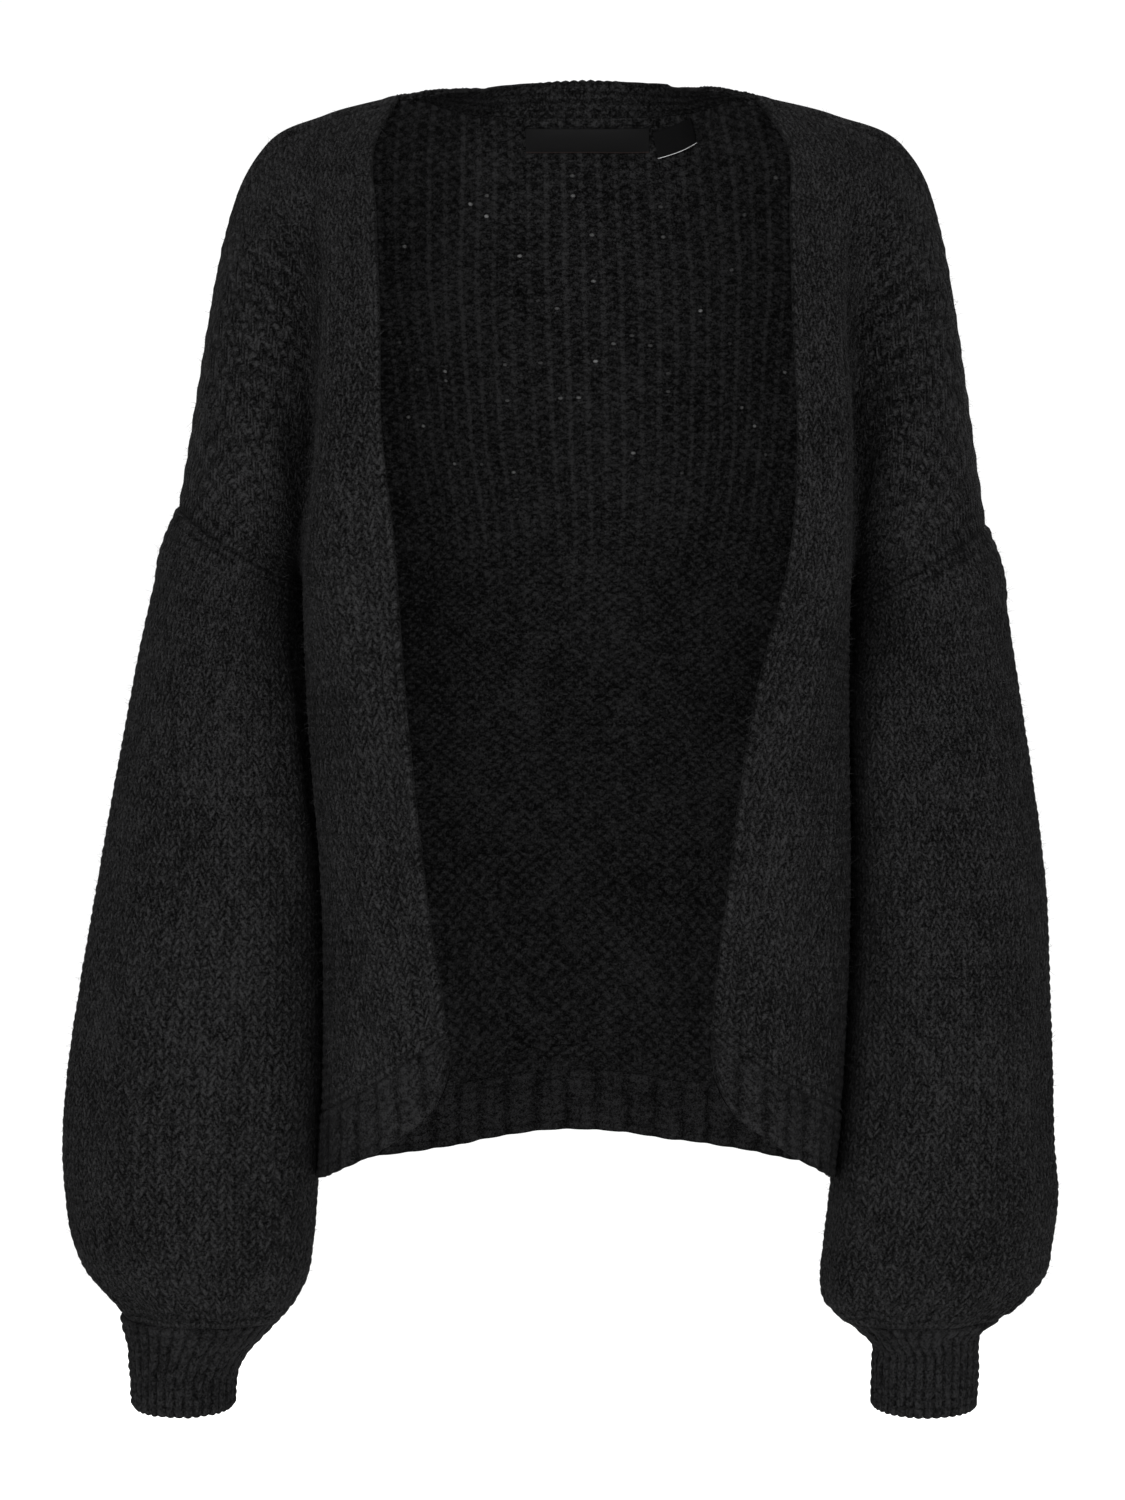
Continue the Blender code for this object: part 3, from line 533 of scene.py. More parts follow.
def fuzz_tree():
    """A node tree that plants short bent hairs all over the outside of a wall."""
    tree, given, sockets = new_tree("brushed_fuzz", {
        "Hairs per square metre": "Float", "Length": "Float", "Thickness": "Float",
        "Seed": "Int", "Yarn": "Material"})
    add = partial(Wire.node, tree)
    roots = add("GeometryNodeDistributePointsOnFaces", {
        "Mesh": given["Geometry"], "Selection": 1 - marked(tree, "inner_face"),
        "Density": given["Hairs per square metre"], "Seed": given["Seed"]})
    hair = add("GeometryNodeMeshCone", {
        "Vertices": 3, "Side Segments": 2, "Radius Bottom": given["Thickness"],
        "Radius Top": 0.0, "Depth": given["Length"]}, fill_type="NGON")
    height = add("GeometryNodeInputPosition").split()[2]
    bend = add("ShaderNodeCombineXYZ", {"X": height * height / given["Length"] * HAIR_BEND})
    hair = add("GeometryNodeSetPosition", {"Geometry": hair, "Offset": bend})
    lean = add("FunctionNodeRandomValue", {
        "Min": [-most for most in HAIR_LEAN], "Max": HAIR_LEAN, "Seed": given["Seed"]},
        data_type="FLOAT_VECTOR")
    turned = add("FunctionNodeRotateRotation", {
        "Rotation": roots.also("Rotation"), "Rotate By": lean}, rotation_space="LOCAL")
    size = add("FunctionNodeRandomValue", {
        2: HAIR_SHORTEST, 3: HAIR_LONGEST, "Seed": given["Seed"]}, 1, data_type="FLOAT")
    hairs = add("GeometryNodeInstanceOnPoints", {
        "Points": roots, "Instance": hair, "Rotation": turned, "Scale": size})
    finish_tree(tree, hairs, ((given["Yarn"], True),))
    return tree, sockets


def brushed_up(cloth, node, seed):
    """Plants the fuzz on a cloth and gives it back as a piece of its own."""
    fuzz = placed(cloth.name.rsplit("_", 1)[0] + "_fuzz", grown(cloth, *FUZZ, {
        "Hairs per square metre": HAIRS_PER_SQUARE_METRE, "Length": HAIR_LENGTH * MM,
        "Thickness": HAIR_THICKNESS / 2 * MM, "Seed": seed, "Yarn": fuzz_yarn}))
    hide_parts(node)
    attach(fuzz, "root")
    return fuzz


def new_material(name, constants):
    """A material, its tree and its shader, with constants on the shader's sockets."""
    material = bpy.data.materials.new(name)
    material.use_nodes = True
    shader = material.node_tree.nodes["Principled BSDF"]
    for socket, value in constants.items():
        shader.inputs[socket].default_value = value
    return material, material.node_tree, shader


def fuzz_material():
    """Loose fibre ends, painted a little lighter than the yarn they come out of for the light that
    they catch, with fibres of randomly darker and lighter tone.
    """
    material, tree, shader = new_material("brushed_fuzz", {
        "Roughness": 0.9, "Specular IOR Level": 0.02})
    noise = Wire.node(tree, "ShaderNodeTexCoord", output="Object").noise(300.0)
    # partly painted light: lighter than the yarn for the light that loose fibres catch
    tone = noise.between(0.3, 0.7).mix((0.004, 0.004, 0.004), (0.030, 0.030, 0.031))
    tone.into(shader.inputs["Base Color"])
    return material


FUZZ = fuzz_tree()
fuzz_yarn = fuzz_material()


# ---- the yarn: near-black brushed wool blend, fibres standing off every stitch
# painted shade: the near-black colour painted into the hollows between stitches
HOLLOW_SHADE = (0.0003, 0.0003, 0.0003)
OUTSIDE_CROWN, INSIDE_CROWN = (0.0125, 0.0125, 0.0128), (0.0105, 0.0105, 0.0108)
# painted light: the colour of light coming through a stretched stitch
LIGHT_THROUGH = (0.085, 0.085, 0.085)
PULL_SCALE, PULL_ACROSS, PULL_ALONG = 170.0, 0.36, 0.66     # uneven tension of the knitting
JOIN_WIDTH, JOIN_FILL = 0.7, 0.6
MIDDLE_TONE, STITCH_TONE, TWIST_TONE, CONTRAST = 0.38, 0.22, 0.06, 1.7
SHAPE_HEIGHT, TWIST_HEIGHT = 0.5, 0.07
Fluff = namedtuple("Fluff", "scale roughness distortion tone height")
FLUFF = (
    Fluff(950.0, 0.6, 0.6, 2.3, 0.9),      # single fibres
    Fluff(380.0, 0.6, 0.8, 1.0, 0.9),      # clumps of them
    Fluff(22.0, 0.5, 0.0, 0.35, None),     # darker and lighter places, level with the rest
)


def yarn_material(name, relief, crown_colour, crisp=0.40, joins=(), shade=None, light_points=None):
    """Brushed yarn, painted near black in the hollows as their shade and lighter on the crowns as
    the light on them. Shade paints light and shade onto some stitches; light points paint spots
    of light where light would come through stretched stitches."""
    material, tree, shader = new_material(name, {
        "Roughness": 0.95, "Specular IOR Level": 0.02, "Sheen Weight": 0.010,
        "Sheen Roughness": 0.5, "Sheen Tint": (0.35, 0.35, 0.36, 1.0)})
    add = partial(Wire.node, tree)
    wale, line, _ = add("ShaderNodeUVMap", uv_map="knit").split()
    place = add("ShaderNodeTexCoord", output="Object")
    across, along, _ = place.noise(PULL_SCALE, detail=1.0, output="Color").split()
    shape = relief(wale + (across - 0.5) * PULL_ACROSS, line + (along - 0.5) * PULL_ALONG)
    for join in joins:
        # No hollow shows where one piece is knitted on from the other.
        shape = shape.at_least((1 - (line - join).size().between(0.0, JOIN_WIDTH)) * JOIN_FILL)
    if relief is purl_relief:
        twist = (wale * 3.0 + line).wave(1)
    else:
        # Two plies wind round each leg: fine ridges that cross it at a slope.
        twist = (line + (wale.fract() * 2 - 1).size() * 2.2).wave(2)
    leg = add("ShaderNodeCombineXYZ", {"X": (wale * 2.0).whole(), "Y": line.whole()})
    each = add("ShaderNodeTexWhiteNoise", {"Vector": leg}, noise_dimensions="2D")
    # Painted shade and light: the crowns of the legs and of the plies' ridges are painted lighter
    # and the hollows darker; the random tone of each leg and the fluff below are the yarn's own.
    crown = shape * shape * crisp + twist * TWIST_TONE * shape
    crown = crown + (each - 0.5) * STITCH_TONE + MIDDLE_TONE
    height = shape * SHAPE_HEIGHT + twist * TWIST_HEIGHT * shape
    for fluff in FLUFF:
        cloud = place.noise(fluff.scale, roughness=fluff.roughness,
                            distortion=fluff.distortion) - 0.5
        crown = crown + cloud * fluff.tone
        if fluff.height:
            height = height + cloud * fluff.height
    if shade is not None:
        crown = crown + shade(wale, line)
    tone = (crown.at_least(0.0) ** CONTRAST).mix(HOLLOW_SHADE, crown_colour)
    # painted light where a stretched stitch would let light through
    if light_points is not None:
        tone = light_points(wale, line).mix(tone, LIGHT_THROUGH)
    tone.into(shader.inputs["Base Color"])
    bump = add("ShaderNodeBump", {"Strength": 0.7, "Distance": 0.0012, "Height": height})
    bump.into(shader.inputs["Normal"])
    return material


def chance(wale, line, seed):
    """A number from 0 to 1, the same all over one stitch."""
    cell = Wire.node(wale.tree, "ShaderNodeCombineXYZ", {
        "X": wale.whole(), "Y": line.whole() if isinstance(line, Wire) else line, "Z": seed})
    return Wire.node(wale.tree, "ShaderNodeTexWhiteNoise", {"Vector": cell},
                     noise_dimensions="3D")


STRETCH_MIDDLE = 30.5    # the wale in the middle of the stretched upper back


def ladders_and_side_shade(wale, line):
    """On the upper back the cloth is stretched into ladders, lighter between the wales; near
    the sides painted shade darkens it, as the shade that falls there."""
    to_middle = (wale - STRETCH_MIDDLE).size()
    ladder = 1 - ((wale + 0.5).fract() - 0.5).size().between(0.06, 0.22)
    ladder = ladder * (1 - to_middle.between(9.0, 19.0)) * (1 - line.between(36.0, 56.0))
    ladder = ladder * (chance(wale + 0.5, 1.0, 3.0) * 0.5 + 0.5)
    # the second term is painted shade, darker towards the sides
    return ladder * 0.36 - to_middle.between(9.0, 20.0) * 0.32


def pinhole_light(wale, line):
    """Painted light: here and there a point of light is painted on a stretched stitch, where light
    would come through it.
    """
    upper = (1 - line.between(34.0, 44.0)) * line.between(3.0, 9.0)
    middle = 1 - (wale - STRETCH_MIDDLE).size().between(7.0, 17.0)
    across, along = wale.fract() - 0.5, line.fract() - 0.5
    point = 1 - (across * across * 1.6 + along * along).between(0.0, 0.045)
    open_stitch = chance(wale, line, 7.0).between(0.91, 0.93) * chance(wale, line, 9.0) ** 2
    return point * open_stitch * upper * middle


def front_painted_shade(wale, line):
    """Over the dropped shoulder the stitches pull into slanting ridges, painted lighter with
    darker grooves between; beyond them a fold's trough is painted darker, and the last wale by the
    armhole seam is painted darker as the seam's shade."""
    dropped = wale.between(9.0, 11.5) * line.between(3.0, 9.0) * (1 - line.between(38.0, 44.0))
    ridge = ((wale + line * 0.34).fract() - 0.5).size() * 2
    fold = (wale - 7.4 - line * 0.06).size().between(0.1, 1.1)
    fold = (1 - fold) * line.between(7.0, 16.0) * (1 - line.between(30.0, 44.0))
    seam = (wale - (FRONT_WALES - 1.3)).between(0.0, 1.3) * (1 - line.between(31.0, 34.0))
    # painted light on the ridges, painted shade in the fold and by the seam
    return (ridge - 0.55) * dropped * 0.24 - fold * 0.14 - seam * 0.08


def sleeve_seam_shade(wale, line):
    """The first courses of the sleeve are drawn into the armhole seam, some more so; painted shade
    darkens them there, over more courses at some wales.
    """
    drawn = chance(wale, 1.0, 5.0) * 1.8 + 0.6
    # painted shade by the armhole seam
    return (1 - (line / drawn).between(0.25, 1.0)) * -0.12


# The front and the sleeve yarn carry painted light and shade from their shade functions.
outside_yarn, front_yarn, sleeve_yarn = (
    yarn_material(name, leg_relief, OUTSIDE_CROWN, joins=(join,), shade=shade)
    for name, join, shade in (("brushed_yarn_outside", BODY_COURSES, None),
                              ("brushed_yarn_front", BODY_COURSES, front_painted_shade),
                              ("brushed_yarn_sleeve", SLEEVE_COURSES, sleeve_seam_shade)))
inside_yarn = yarn_material("brushed_yarn_inside", purl_relief, INSIDE_CROWN, crisp=0.34)
# The back's inside carries painted shade towards the sides and painted points of light.
back_inside_yarn = yarn_material("brushed_yarn_back_inside", purl_relief, INSIDE_CROWN,
                                 crisp=0.34, joins=(BODY_COURSES,), shade=ladders_and_side_shade,
                                 light_points=pinhole_light)

OUTSIDE_RISE, INSIDE_RISE, OUTSIDE_DEPTH = 0.9, 0.7, 0.6
BACK_BUMPS, FRONT_BUMPS = 0.5, 0.4       # how much of the wall is left to the purl bumps
BACK_OUT = Stitches(BACK_WALES, BODY_COURSES, columns=4, rows=2, slant=SLANT)
BACK_IN = Stitches(BACK_WALES, BODY_COURSES, columns=4, rows=2, slant=0.0)

# The wales of the back spread where it stretches over the shoulder blades.
Spread = namedtuple("Spread", "down wider")
BACK_SPREAD = (Spread(0, 0.16), Spread(90, 0.24), Spread(190, 0.16), Spread(280, -0.06),
               Spread(400, 0.0), Spread(530, 0.05))

Crease = namedtuple("Crease", "across start end width rise")
BACK_CREASES = (
    Crease(-0.78, 250, 540, 0.050, -5.2), Crease(-0.52, 300, 560, 0.075, 3.9),
    Crease(-0.30, 340, 560, 0.060, -3.9), Crease(-0.08, 310, 560, 0.080, 3.2),
    Crease(0.20, 350, 560, 0.070, -4.5), Crease(0.43, 280, 560, 0.070, 3.9),
    Crease(0.70, 260, 540, 0.055, -5.2), Crease(-0.62, 40, 230, 0.045, -3.9),
    Crease(0.58, 50, 240, 0.050, -3.9), Crease(0.05, 60, 200, 0.10, 2.0),
)


def faded(crease, at, runs_on=False):
    """A crease comes in over its first third, and goes out over its last or runs on."""
    third = (crease.end - crease.start) / 3
    share = smoothstep(crease.start, crease.start + third, at)
    return share if runs_on else share * (1 - smoothstep(crease.end - third, crease.end, at))


def creased(points, normals, across, depth, creases):
    """Presses soft troughs and ridges into a panel."""
    lift = np.zeros(points.shape[:2])
    for crease in creases:
        near = np.exp(-((across - crease.across) / crease.width) ** 2)
        lift += near * faded(crease, depth, crease.end > BODY_BOTTOM) * crease.rise
    return points + normals * lift[..., None]


def two_halves(down, across):
    """The back's outside before it creases, for grids of depth and of place, -1 to 1."""
    middle = across.shape[1] // 2
    left = panel("left", BACK_COURSES, BACK_PLACES, down[:, middle::-1], -across[:, middle::-1])
    right = panel("right", BACK_COURSES, BACK_PLACES, down[:, middle:], across[:, middle:])
    return [np.concatenate([one[:, :0:-1], two], axis=1) for one, two in zip(left, right)]


def whole_back(down, across, share):
    """The creased back. Share is the place across before the wales spread."""
    points, normals = two_halves(down, across)
    normals[:, across.shape[1] // 2, 0] = 0.0
    normals = unit(normals)
    return creased(points, normals, share, down, BACK_CREASES), normals


def back_shape(wale, course):
    down, share = course / BODY_COURSES * BODY_BOTTOM, wale / BACK_WALES * 2 - 1
    wider = np.interp(down, [row.down for row in BACK_SPREAD], [row.wider for row in BACK_SPREAD])
    across = share + np.sign(share) * wider * np.sin(np.pi * np.abs(share)) / np.pi
    return whole_back(down, across, share)


back_cloth = knitted_wall("back_cloth", (back_shape, BACK_OUT, OUTSIDE_DEPTH),
                          (back_shape, BACK_IN, WALL - BACK_BUMPS))
raise_stitches(back_cloth, STOCKINETTE, OUTSIDE_RISE, INSIDE_RISE,
               (outside_yarn, back_inside_yarn))
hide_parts("back")
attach(back_cloth, "root")
brushed_up(back_cloth, "back", 1)

# ==================================================================== the two fronts
# Narrow stockinette panels with no fastening. The free front edge is the knit's own
# selvedge, which rolls into a slim bead, most clearly on the lower half.
FrontCourse = namedtuple("FrontCourse", "down edge turn fold lobe end")
FRONT_COURSES = (
    FrontCourse(0, (98, 3, -1), (140, 1, -12), (176.5, 0, -30.5), (197.5, 0, -79), 0),
    FrontCourse(30, (111, -38, -28), (142, -40, -38), (171, -37, -60), (195, -33, -106), 26),
    FrontCourse(75, (110.5, -84, -70), (138, -74, -80), (156, -56, -101), (183, -57, -148), 56),
    FrontCourse(130, (109, -113, -125), (137, -102, -132), (147, -52, -150), (167, -65, -190), 92),
    FrontCourse(185, (109.5, -126, -180), (139, -113, -187), (147, -46, -204),
                (157, -56, -232), 130),
    FrontCourse(240, (105.5, -128, -235), (140, -112, -243), (147.5, -60, -256),
                (149.5, -25, -268), 180),
    FrontCourse(337, (92, -127, -330), (129, -102, -335), (145, -66, -338),
                (147.5, -32, -340), (147, -341)),
    FrontCourse(437, (79.7, -127, -430), (118, -106, -440), (140, -72, -444),
                (145, -34, -446), (145, -446)),
    FrontCourse(530, (71, -129.5, -501), (109, -110, -530), (135.5, -76, -549),
                (143, -36, -559), (143.5, -562)),
    FrontCourse(566, (69.5, -130, -537), (108, -110, -566), (134.5, -76, -585),
                (142, -36, -595), (142.5, -598)),
)
FRONT_PLACES = (0.0, 0.26, 0.52, 0.75, 1.0)
SELVEDGE_WIDTH, SELVEDGE_RISE = 9.0, 1.8
SELVEDGE_FROM, SELVEDGE_FULL = 330.0, 440.0
FRONT_OUT = Stitches(FRONT_WALES, BODY_COURSES, columns=4, rows=3, slant=SLANT)
FRONT_IN = Stitches(FRONT_WALES, BODY_COURSES, columns=4, rows=2, slant=0.0)
FRONT_CREASES = {
    "left": (Crease(0.16, 180, 420, 0.05, 1.4), Crease(0.30, 260, 545, 0.05, -1.8),
             Crease(0.34, 15, 150, 0.042, -3.2), Crease(0.40, 80, 250, 0.042, -3.2),
             Crease(0.66, 60, 210, 0.05, -1.6), Crease(0.86, 40, 170, 0.05, 1.2)),
    "right": (Crease(0.20, 150, 380, 0.05, 1.4), Crease(0.34, 300, 545, 0.05, -1.8),
              Crease(0.35, 25, 160, 0.042, -2.9), Crease(0.40, 90, 250, 0.042, -3.2),
              Crease(0.64, 70, 220, 0.05, -1.6), Crease(0.84, 50, 180, 0.05, 1.2)),
}


def rolled_edge(points, normals, down):
    """Raises the rolled bead along a front's free edge."""
    length = np.linalg.norm(np.diff(points, axis=1), axis=2)
    reach = np.concatenate([np.zeros((len(points), 1)), np.cumsum(length, axis=1)], axis=1)
    bead = np.sin(np.pi * np.clip(reach / SELVEDGE_WIDTH, 0, 1)) * SELVEDGE_RISE
    bead = bead * (0.25 + 0.75 * smoothstep(SELVEDGE_FROM, SELVEDGE_FULL, down))
    return points + normals * bead[..., None]


def front_shape(side, rolled, wale, course):
    down, share = course / BODY_COURSES * BODY_BOTTOM, wale / FRONT_WALES
    points, normals = panel(side, FRONT_COURSES, FRONT_PLACES, down, share)
    points = creased(points, normals, share, down, FRONT_CREASES[side])
    return rolled_edge(points, normals, down) if rolled else points, normals


for side in SIDES:
    cloth = knitted_wall(f"front_{side}_cloth",
                         (partial(front_shape, side, True), FRONT_OUT, OUTSIDE_DEPTH),
                         (partial(front_shape, side, False), FRONT_IN, WALL - FRONT_BUMPS))
    raise_stitches(cloth, STOCKINETTE, OUTSIDE_RISE, INSIDE_RISE * 0.8,
                   (front_yarn, inside_yarn))
    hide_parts(f"front_{side}")
    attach(cloth, "root")
    brushed_up(cloth, f"front_{side}", 2)

# ==================================================================== the two sleeves
# Balloon sleeves in the same stockinette, knitted from the armhole down. Each is sewn in
# low on the upper arm, puffs out below the seam and is gathered into its cuff.
CUFF_TOP = -677.0
GATHERS, GATHER_RISE, GATHER_DRIFT = 10, 2.4, 0.35
GATHER_FROM, GATHER_FULL = -640.0, -684.0
Ring = namedtuple("Ring", "height tilt left right half_depth ahead")
SLEEVE_RINGS = (         # left and right: how far out the outer side lies, and the inner
    Ring(-278, 27, (231.0, 151.8), (235.0, 151.8), 69, 0),
    Ring(-310, 12, (240.5, 151.0), (242.0, 151.2), 67, 0),
    Ring(-345, 0, (248.5, 149.0), (248.5, 151.5), 66, 1),
    Ring(-390, 0, (257.0, 144.5), (255.5, 153.0), 67, 3),
    Ring(-440, 0, (266.0, 141.5), (261.5, 155.0), 69, 5),
    Ring(-490, 0, (274.8, 140.3), (264.0, 153.5), 71, 7),
    Ring(-542, 0, (282.7, 141.0), (266.3, 150.5), 72, 8),
    Ring(-580, 0, (285.5, 143.7), (267.6, 147.0), 71, 9),
    Ring(-610, 0, (284.0, 146.0), (269.6, 144.3), 69, 9),
    Ring(-635, 0, (280.0, 148.0), (266.5, 141.5), 65, 9),
    Ring(-655, 0, (271.0, 152.0), (262.3, 140.0), 58, 9),
    Ring(-670, 0, (257.0, 160.5), (248.5, 143.5), 49, 9),
    Ring(-677, 0, (252.6, 165.0), (237.6, 149.4), 44, 9),
)
SLEEVE_OUT = Stitches(SLEEVE_WALES, SLEEVE_COURSES, columns=4, rows=3, slant=SLANT)
SLEEVE_IN = Stitches(SLEEVE_WALES, SLEEVE_COURSES, columns=2, rows=1, slant=0.0)

# Soft folds in a sleeve: where round the arm (0 outside, 90 front), from and to how far
# down it, how wide in degrees, and how high.
Fold = namedtuple("Fold", "turn start end width rise")
SLEEVE_FOLDS = (
    Fold(38, 0.30, 0.86, 9, -2.3), Fold(66, 0.42, 0.98, 10, 2.3), Fold(97, 0.10, 0.55, 9, -2.2),
    Fold(118, 0.50, 0.97, 9, -2.8), Fold(142, 0.08, 0.50, 10, 2.5), Fold(160, 0.02, 0.40, 8, -3.5),
    Fold(203, 0.10, 0.62, 9, -2.9), Fold(236, 0.35, 0.95, 10, 2.6), Fold(262, 0.08, 0.45, 9, -2.3),
    Fold(290, 0.45, 0.97, 9, -2.9), Fold(322, 0.15, 0.70, 11, 2.3), Fold(348, 0.40, 0.90, 9, -2.2),
)


def sleeve_rings(side):
    """Distance along the sleeve, middle, half width and half depth of each ring."""
    middle, reach = armhole_frame(side)
    along, middles, reaches, depths = [0.0], [middle], [reach], [ARMHOLES[side].half_depth]
    for ring in SLEEVE_RINGS:
        top, foot = (np.array([SIDES[side] * out, -ring.ahead, ring.height + rise])
                     for out, rise in zip(getattr(ring, side), (ring.tilt / 2, -ring.tilt / 2)))
        along.append(float(np.linalg.norm((top + foot) / 2 - middles[-1]) + along[-1]))
        middles.append((top + foot) / 2)
        reaches.append((top - foot) / 2)
        depths.append(ring.half_depth)
    return np.array(along), np.array(middles), np.array(reaches), np.array(depths)[:, None]


PUFF, PUFF_LENGTH, PUCKERS, PUCKER_RISE, PUCKER_LENGTH = 2.4, 34.0, 27, 0.7, 8.0
FULLER = 0.45            # how squarely the sleeve fills the corner beside the front
CORNER_FROM, CORNER_FULL = 20.0, 70.0
TOWARDS_FRONT = 2.2      # how far it bulges towards the front below the seam
LAST_GATHERS = 9.0       # over this length the gathers sink into the cuff


def sleeve_shape(side, wale, course):
    knots, middles, reaches, depths = sleeve_rings(side)
    at = course / SLEEVE_COURSES * knots[-1]
    share, turn = at / knots[-1], wale / SLEEVE_WALES * 2 * math.pi
    middle, reach, depth = (curve_through(knots, values, at.ravel()).reshape(*at.shape, -1)
                            for values in (middles, reaches, depths))
    cos, sin = np.cos(turn), np.sin(turn)
    corner = np.clip(-cos, 0, 1) * np.clip(sin, 0, 1) * smoothstep(CORNER_FROM, CORNER_FULL, at)
    round_it = reach * cos[..., None] + np.array([0.0, -1.0, 0.0]) * sin[..., None] * depth
    points = middle + round_it * (1 + FULLER * corner * corner)[..., None]
    normals = turned_out(points, grid_normals(points, wrap=True), middle)
    lift = np.cos(GATHERS * turn + GATHER_DRIFT * np.sin(3 * turn)) * GATHER_RISE
    lift *= smoothstep(-GATHER_FROM, -GATHER_FULL, -points[..., 2])
    lift *= 1 - 0.85 * smoothstep(knots[-1] - LAST_GATHERS, knots[-1], at)
    lift += PUFF * np.sin(np.pi * np.clip(at / PUFF_LENGTH, 0, 1)) * smoothstep(-0.2, 0.6, cos)
    puckers = PUCKER_RISE * np.cos(PUCKERS * turn + 2.2 * np.sin(5 * turn))
    lift += puckers * np.clip(at / 2, 0, 1) * np.exp(-(at / PUCKER_LENGTH) ** 2)
    lift += TOWARDS_FRONT * smoothstep(0.6, 1.0, -cos) * smoothstep(8.0, 40.0, at)
    for k, fold in enumerate(SLEEVE_FOLDS):
        where = fold.turn if side == "left" else fold.turn + (9 if k % 2 else -7)
        away = (np.degrees(turn) - where - 10 * (share - 0.5) + 180) % 360 - 180
        lift += np.exp(-(away / fold.width) ** 2) * faded(fold, share) * fold.rise
    points = points + normals * lift[..., None]
    normals = turned_out(points, grid_normals(points, wrap=True), middle)
    turn_edge(normals, armhole_outward(side, np.degrees(turn[0])))
    turn_edge(normals[::-1], normals[-1] * [1.0, 1.0, 0.0])
    points[-1, :, 2] = CUFF_TOP
    return points, normals


for side in SIDES:
    shape = partial(sleeve_shape, side)
    sleeve = knitted_wall(f"sleeve_{side}_cloth", (shape, SLEEVE_OUT, OUTSIDE_DEPTH),
                          (shape, SLEEVE_IN, WALL), wrap=True)
    raise_stitches(sleeve, STOCKINETTE, OUTSIDE_RISE, 0.0, (sleeve_yarn, inside_yarn))
    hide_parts(f"sleeve_{side}")
    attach(sleeve, "root")
    brushed_up(sleeve, f"sleeve_{side}", 3)

# ==================================================================== the two cuffs
# Bands of 1x1 rib, knitted on from the sleeve's gathered end and drawn in towards the
# wrist: a rounded column of V stitches, then a hollow of purl, all the way round.
CuffRing = namedtuple("CuffRing", "height left right half_depth")
CUFF_RINGS = (           # measured over the ribs
    CuffRing(-677, (254.4, 163.2), (239.6, 147.6), 45),
    CuffRing(-685, (252.8, 169.6), (228.6, 157.6), 40),
    CuffRing(-694, (250.6, 178.8), (226.2, 166.0), 35),
    CuffRing(-704, (249.8, 186.0), (226.2, 166.2), 32),
    CuffRing(-730, (248.6, 190.4), (225.6, 165.8), 30),
)
CUFF_RIBS, CUFF_COURSES, RIB_WALL, CUFF_RIB_RISE = 34, 10, 2.6, 1.3
CUFF_OUT = Stitches(CUFF_RIBS, CUFF_COURSES, columns=6, rows=4, slant=0.7)
CUFF_IN = Stitches(CUFF_RIBS, CUFF_COURSES, columns=2, rows=1, slant=0.0)
RIBBING = stitch_tree("rib_stitches", rib_relief, purl_relief)
rib_yarn = yarn_material("brushed_rib", rib_relief, (0.0099, 0.0099, 0.0102), crisp=0.55,
                         joins=(0,))
RIB_DEPTH, RIB_LIP = 0.3, 1.2        # how deep the hollows lie, and how far the end rounds


def cuff_shape(side, ends_round, wale, course):
    rows = np.array([(*getattr(ring, side), ring.half_depth, ring.height) for ring in CUFF_RINGS])
    share, drops = course / CUFF_COURSES, rows[0, 3] - rows[:, 3]
    read = curve_through(drops, rows, (drops[-1] * share).ravel()).reshape(*share.shape, 4)
    out, inner, deep, height = np.moveaxis(read, -1, 0)
    tucked = CUFF_RIB_RISE + (RIB_LIP * smoothstep(0.94, 1.0, share) if ends_round else 0.0)
    turn = wale / CUFF_RIBS * 2 * math.pi
    around = np.stack([SIDES[side] * np.cos(turn), -np.sin(turn), 0 * turn], axis=-1)
    reach = np.stack([(out - inner) / 2 - tucked, deep - tucked, 0 * deep], axis=-1)
    middle = np.stack([SIDES[side] * (out + inner) / 2, 0 * out - SLEEVE_RINGS[-1].ahead, height],
                      axis=-1)
    return middle + around * reach, around


for side in SIDES:
    cuff = knitted_wall(f"cuff_{side}_rib",
                        (partial(cuff_shape, side, True), CUFF_OUT, RIB_DEPTH),
                        (partial(cuff_shape, side, False), CUFF_IN, RIB_WALL),
                        wrap=True, sewn="t")
    raise_stitches(cuff, RIBBING, CUFF_RIB_RISE + OUTSIDE_RISE, 0.0, (rib_yarn, inside_yarn),
                   uneven=1.0)
    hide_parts(f"cuff_{side}")
    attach(cuff, "root")

# ==================================================================== the ribbed hem
# The same 1x1 rib in the body's wider stitches, knitted on below the back and below each
# front. The lower corner of each front is rounded off.
HEM_DEPTH, HEM_COURSES, HEM_RIB_RISE, HEM_INSIDE_RISE = 36.0, 7, 1.9, 0.5
BACK_HEM_RIBS, FRONT_HEM_RIBS, CORNER_ROUND = 29, 11, 25.0
BACK_HEM_OUT = Stitches(BACK_HEM_RIBS, HEM_COURSES, columns=8, rows=4, slant=0.9)
FRONT_HEM_OUT = Stitches(FRONT_HEM_RIBS, HEM_COURSES, columns=8, rows=4, slant=0.9)


def hem_back_shape(wale, course):
    down, share = BODY_BOTTOM + course / HEM_COURSES * HEM_DEPTH, wale / BACK_HEM_RIBS * 2 - 1
    return whole_back(down, share, share)


def hem_front_shape(side, wale, course):
    down, share = BODY_BOTTOM + course / HEM_COURSES * HEM_DEPTH, wale / FRONT_HEM_RIBS
    points, normals = panel(side, FRONT_COURSES, FRONT_PLACES, down, share)
    points = creased(points, normals, share, down, FRONT_CREASES[side])
    reach = np.linalg.norm(points - points[:, :1], axis=2)
    short = np.clip(CORNER_ROUND - reach, 0, None)
    lift = CORNER_ROUND - np.sqrt(CORNER_ROUND**2 - short**2)
    points[..., 2] += lift * course / HEM_COURSES
    return rolled_edge(points, normals, down), normals


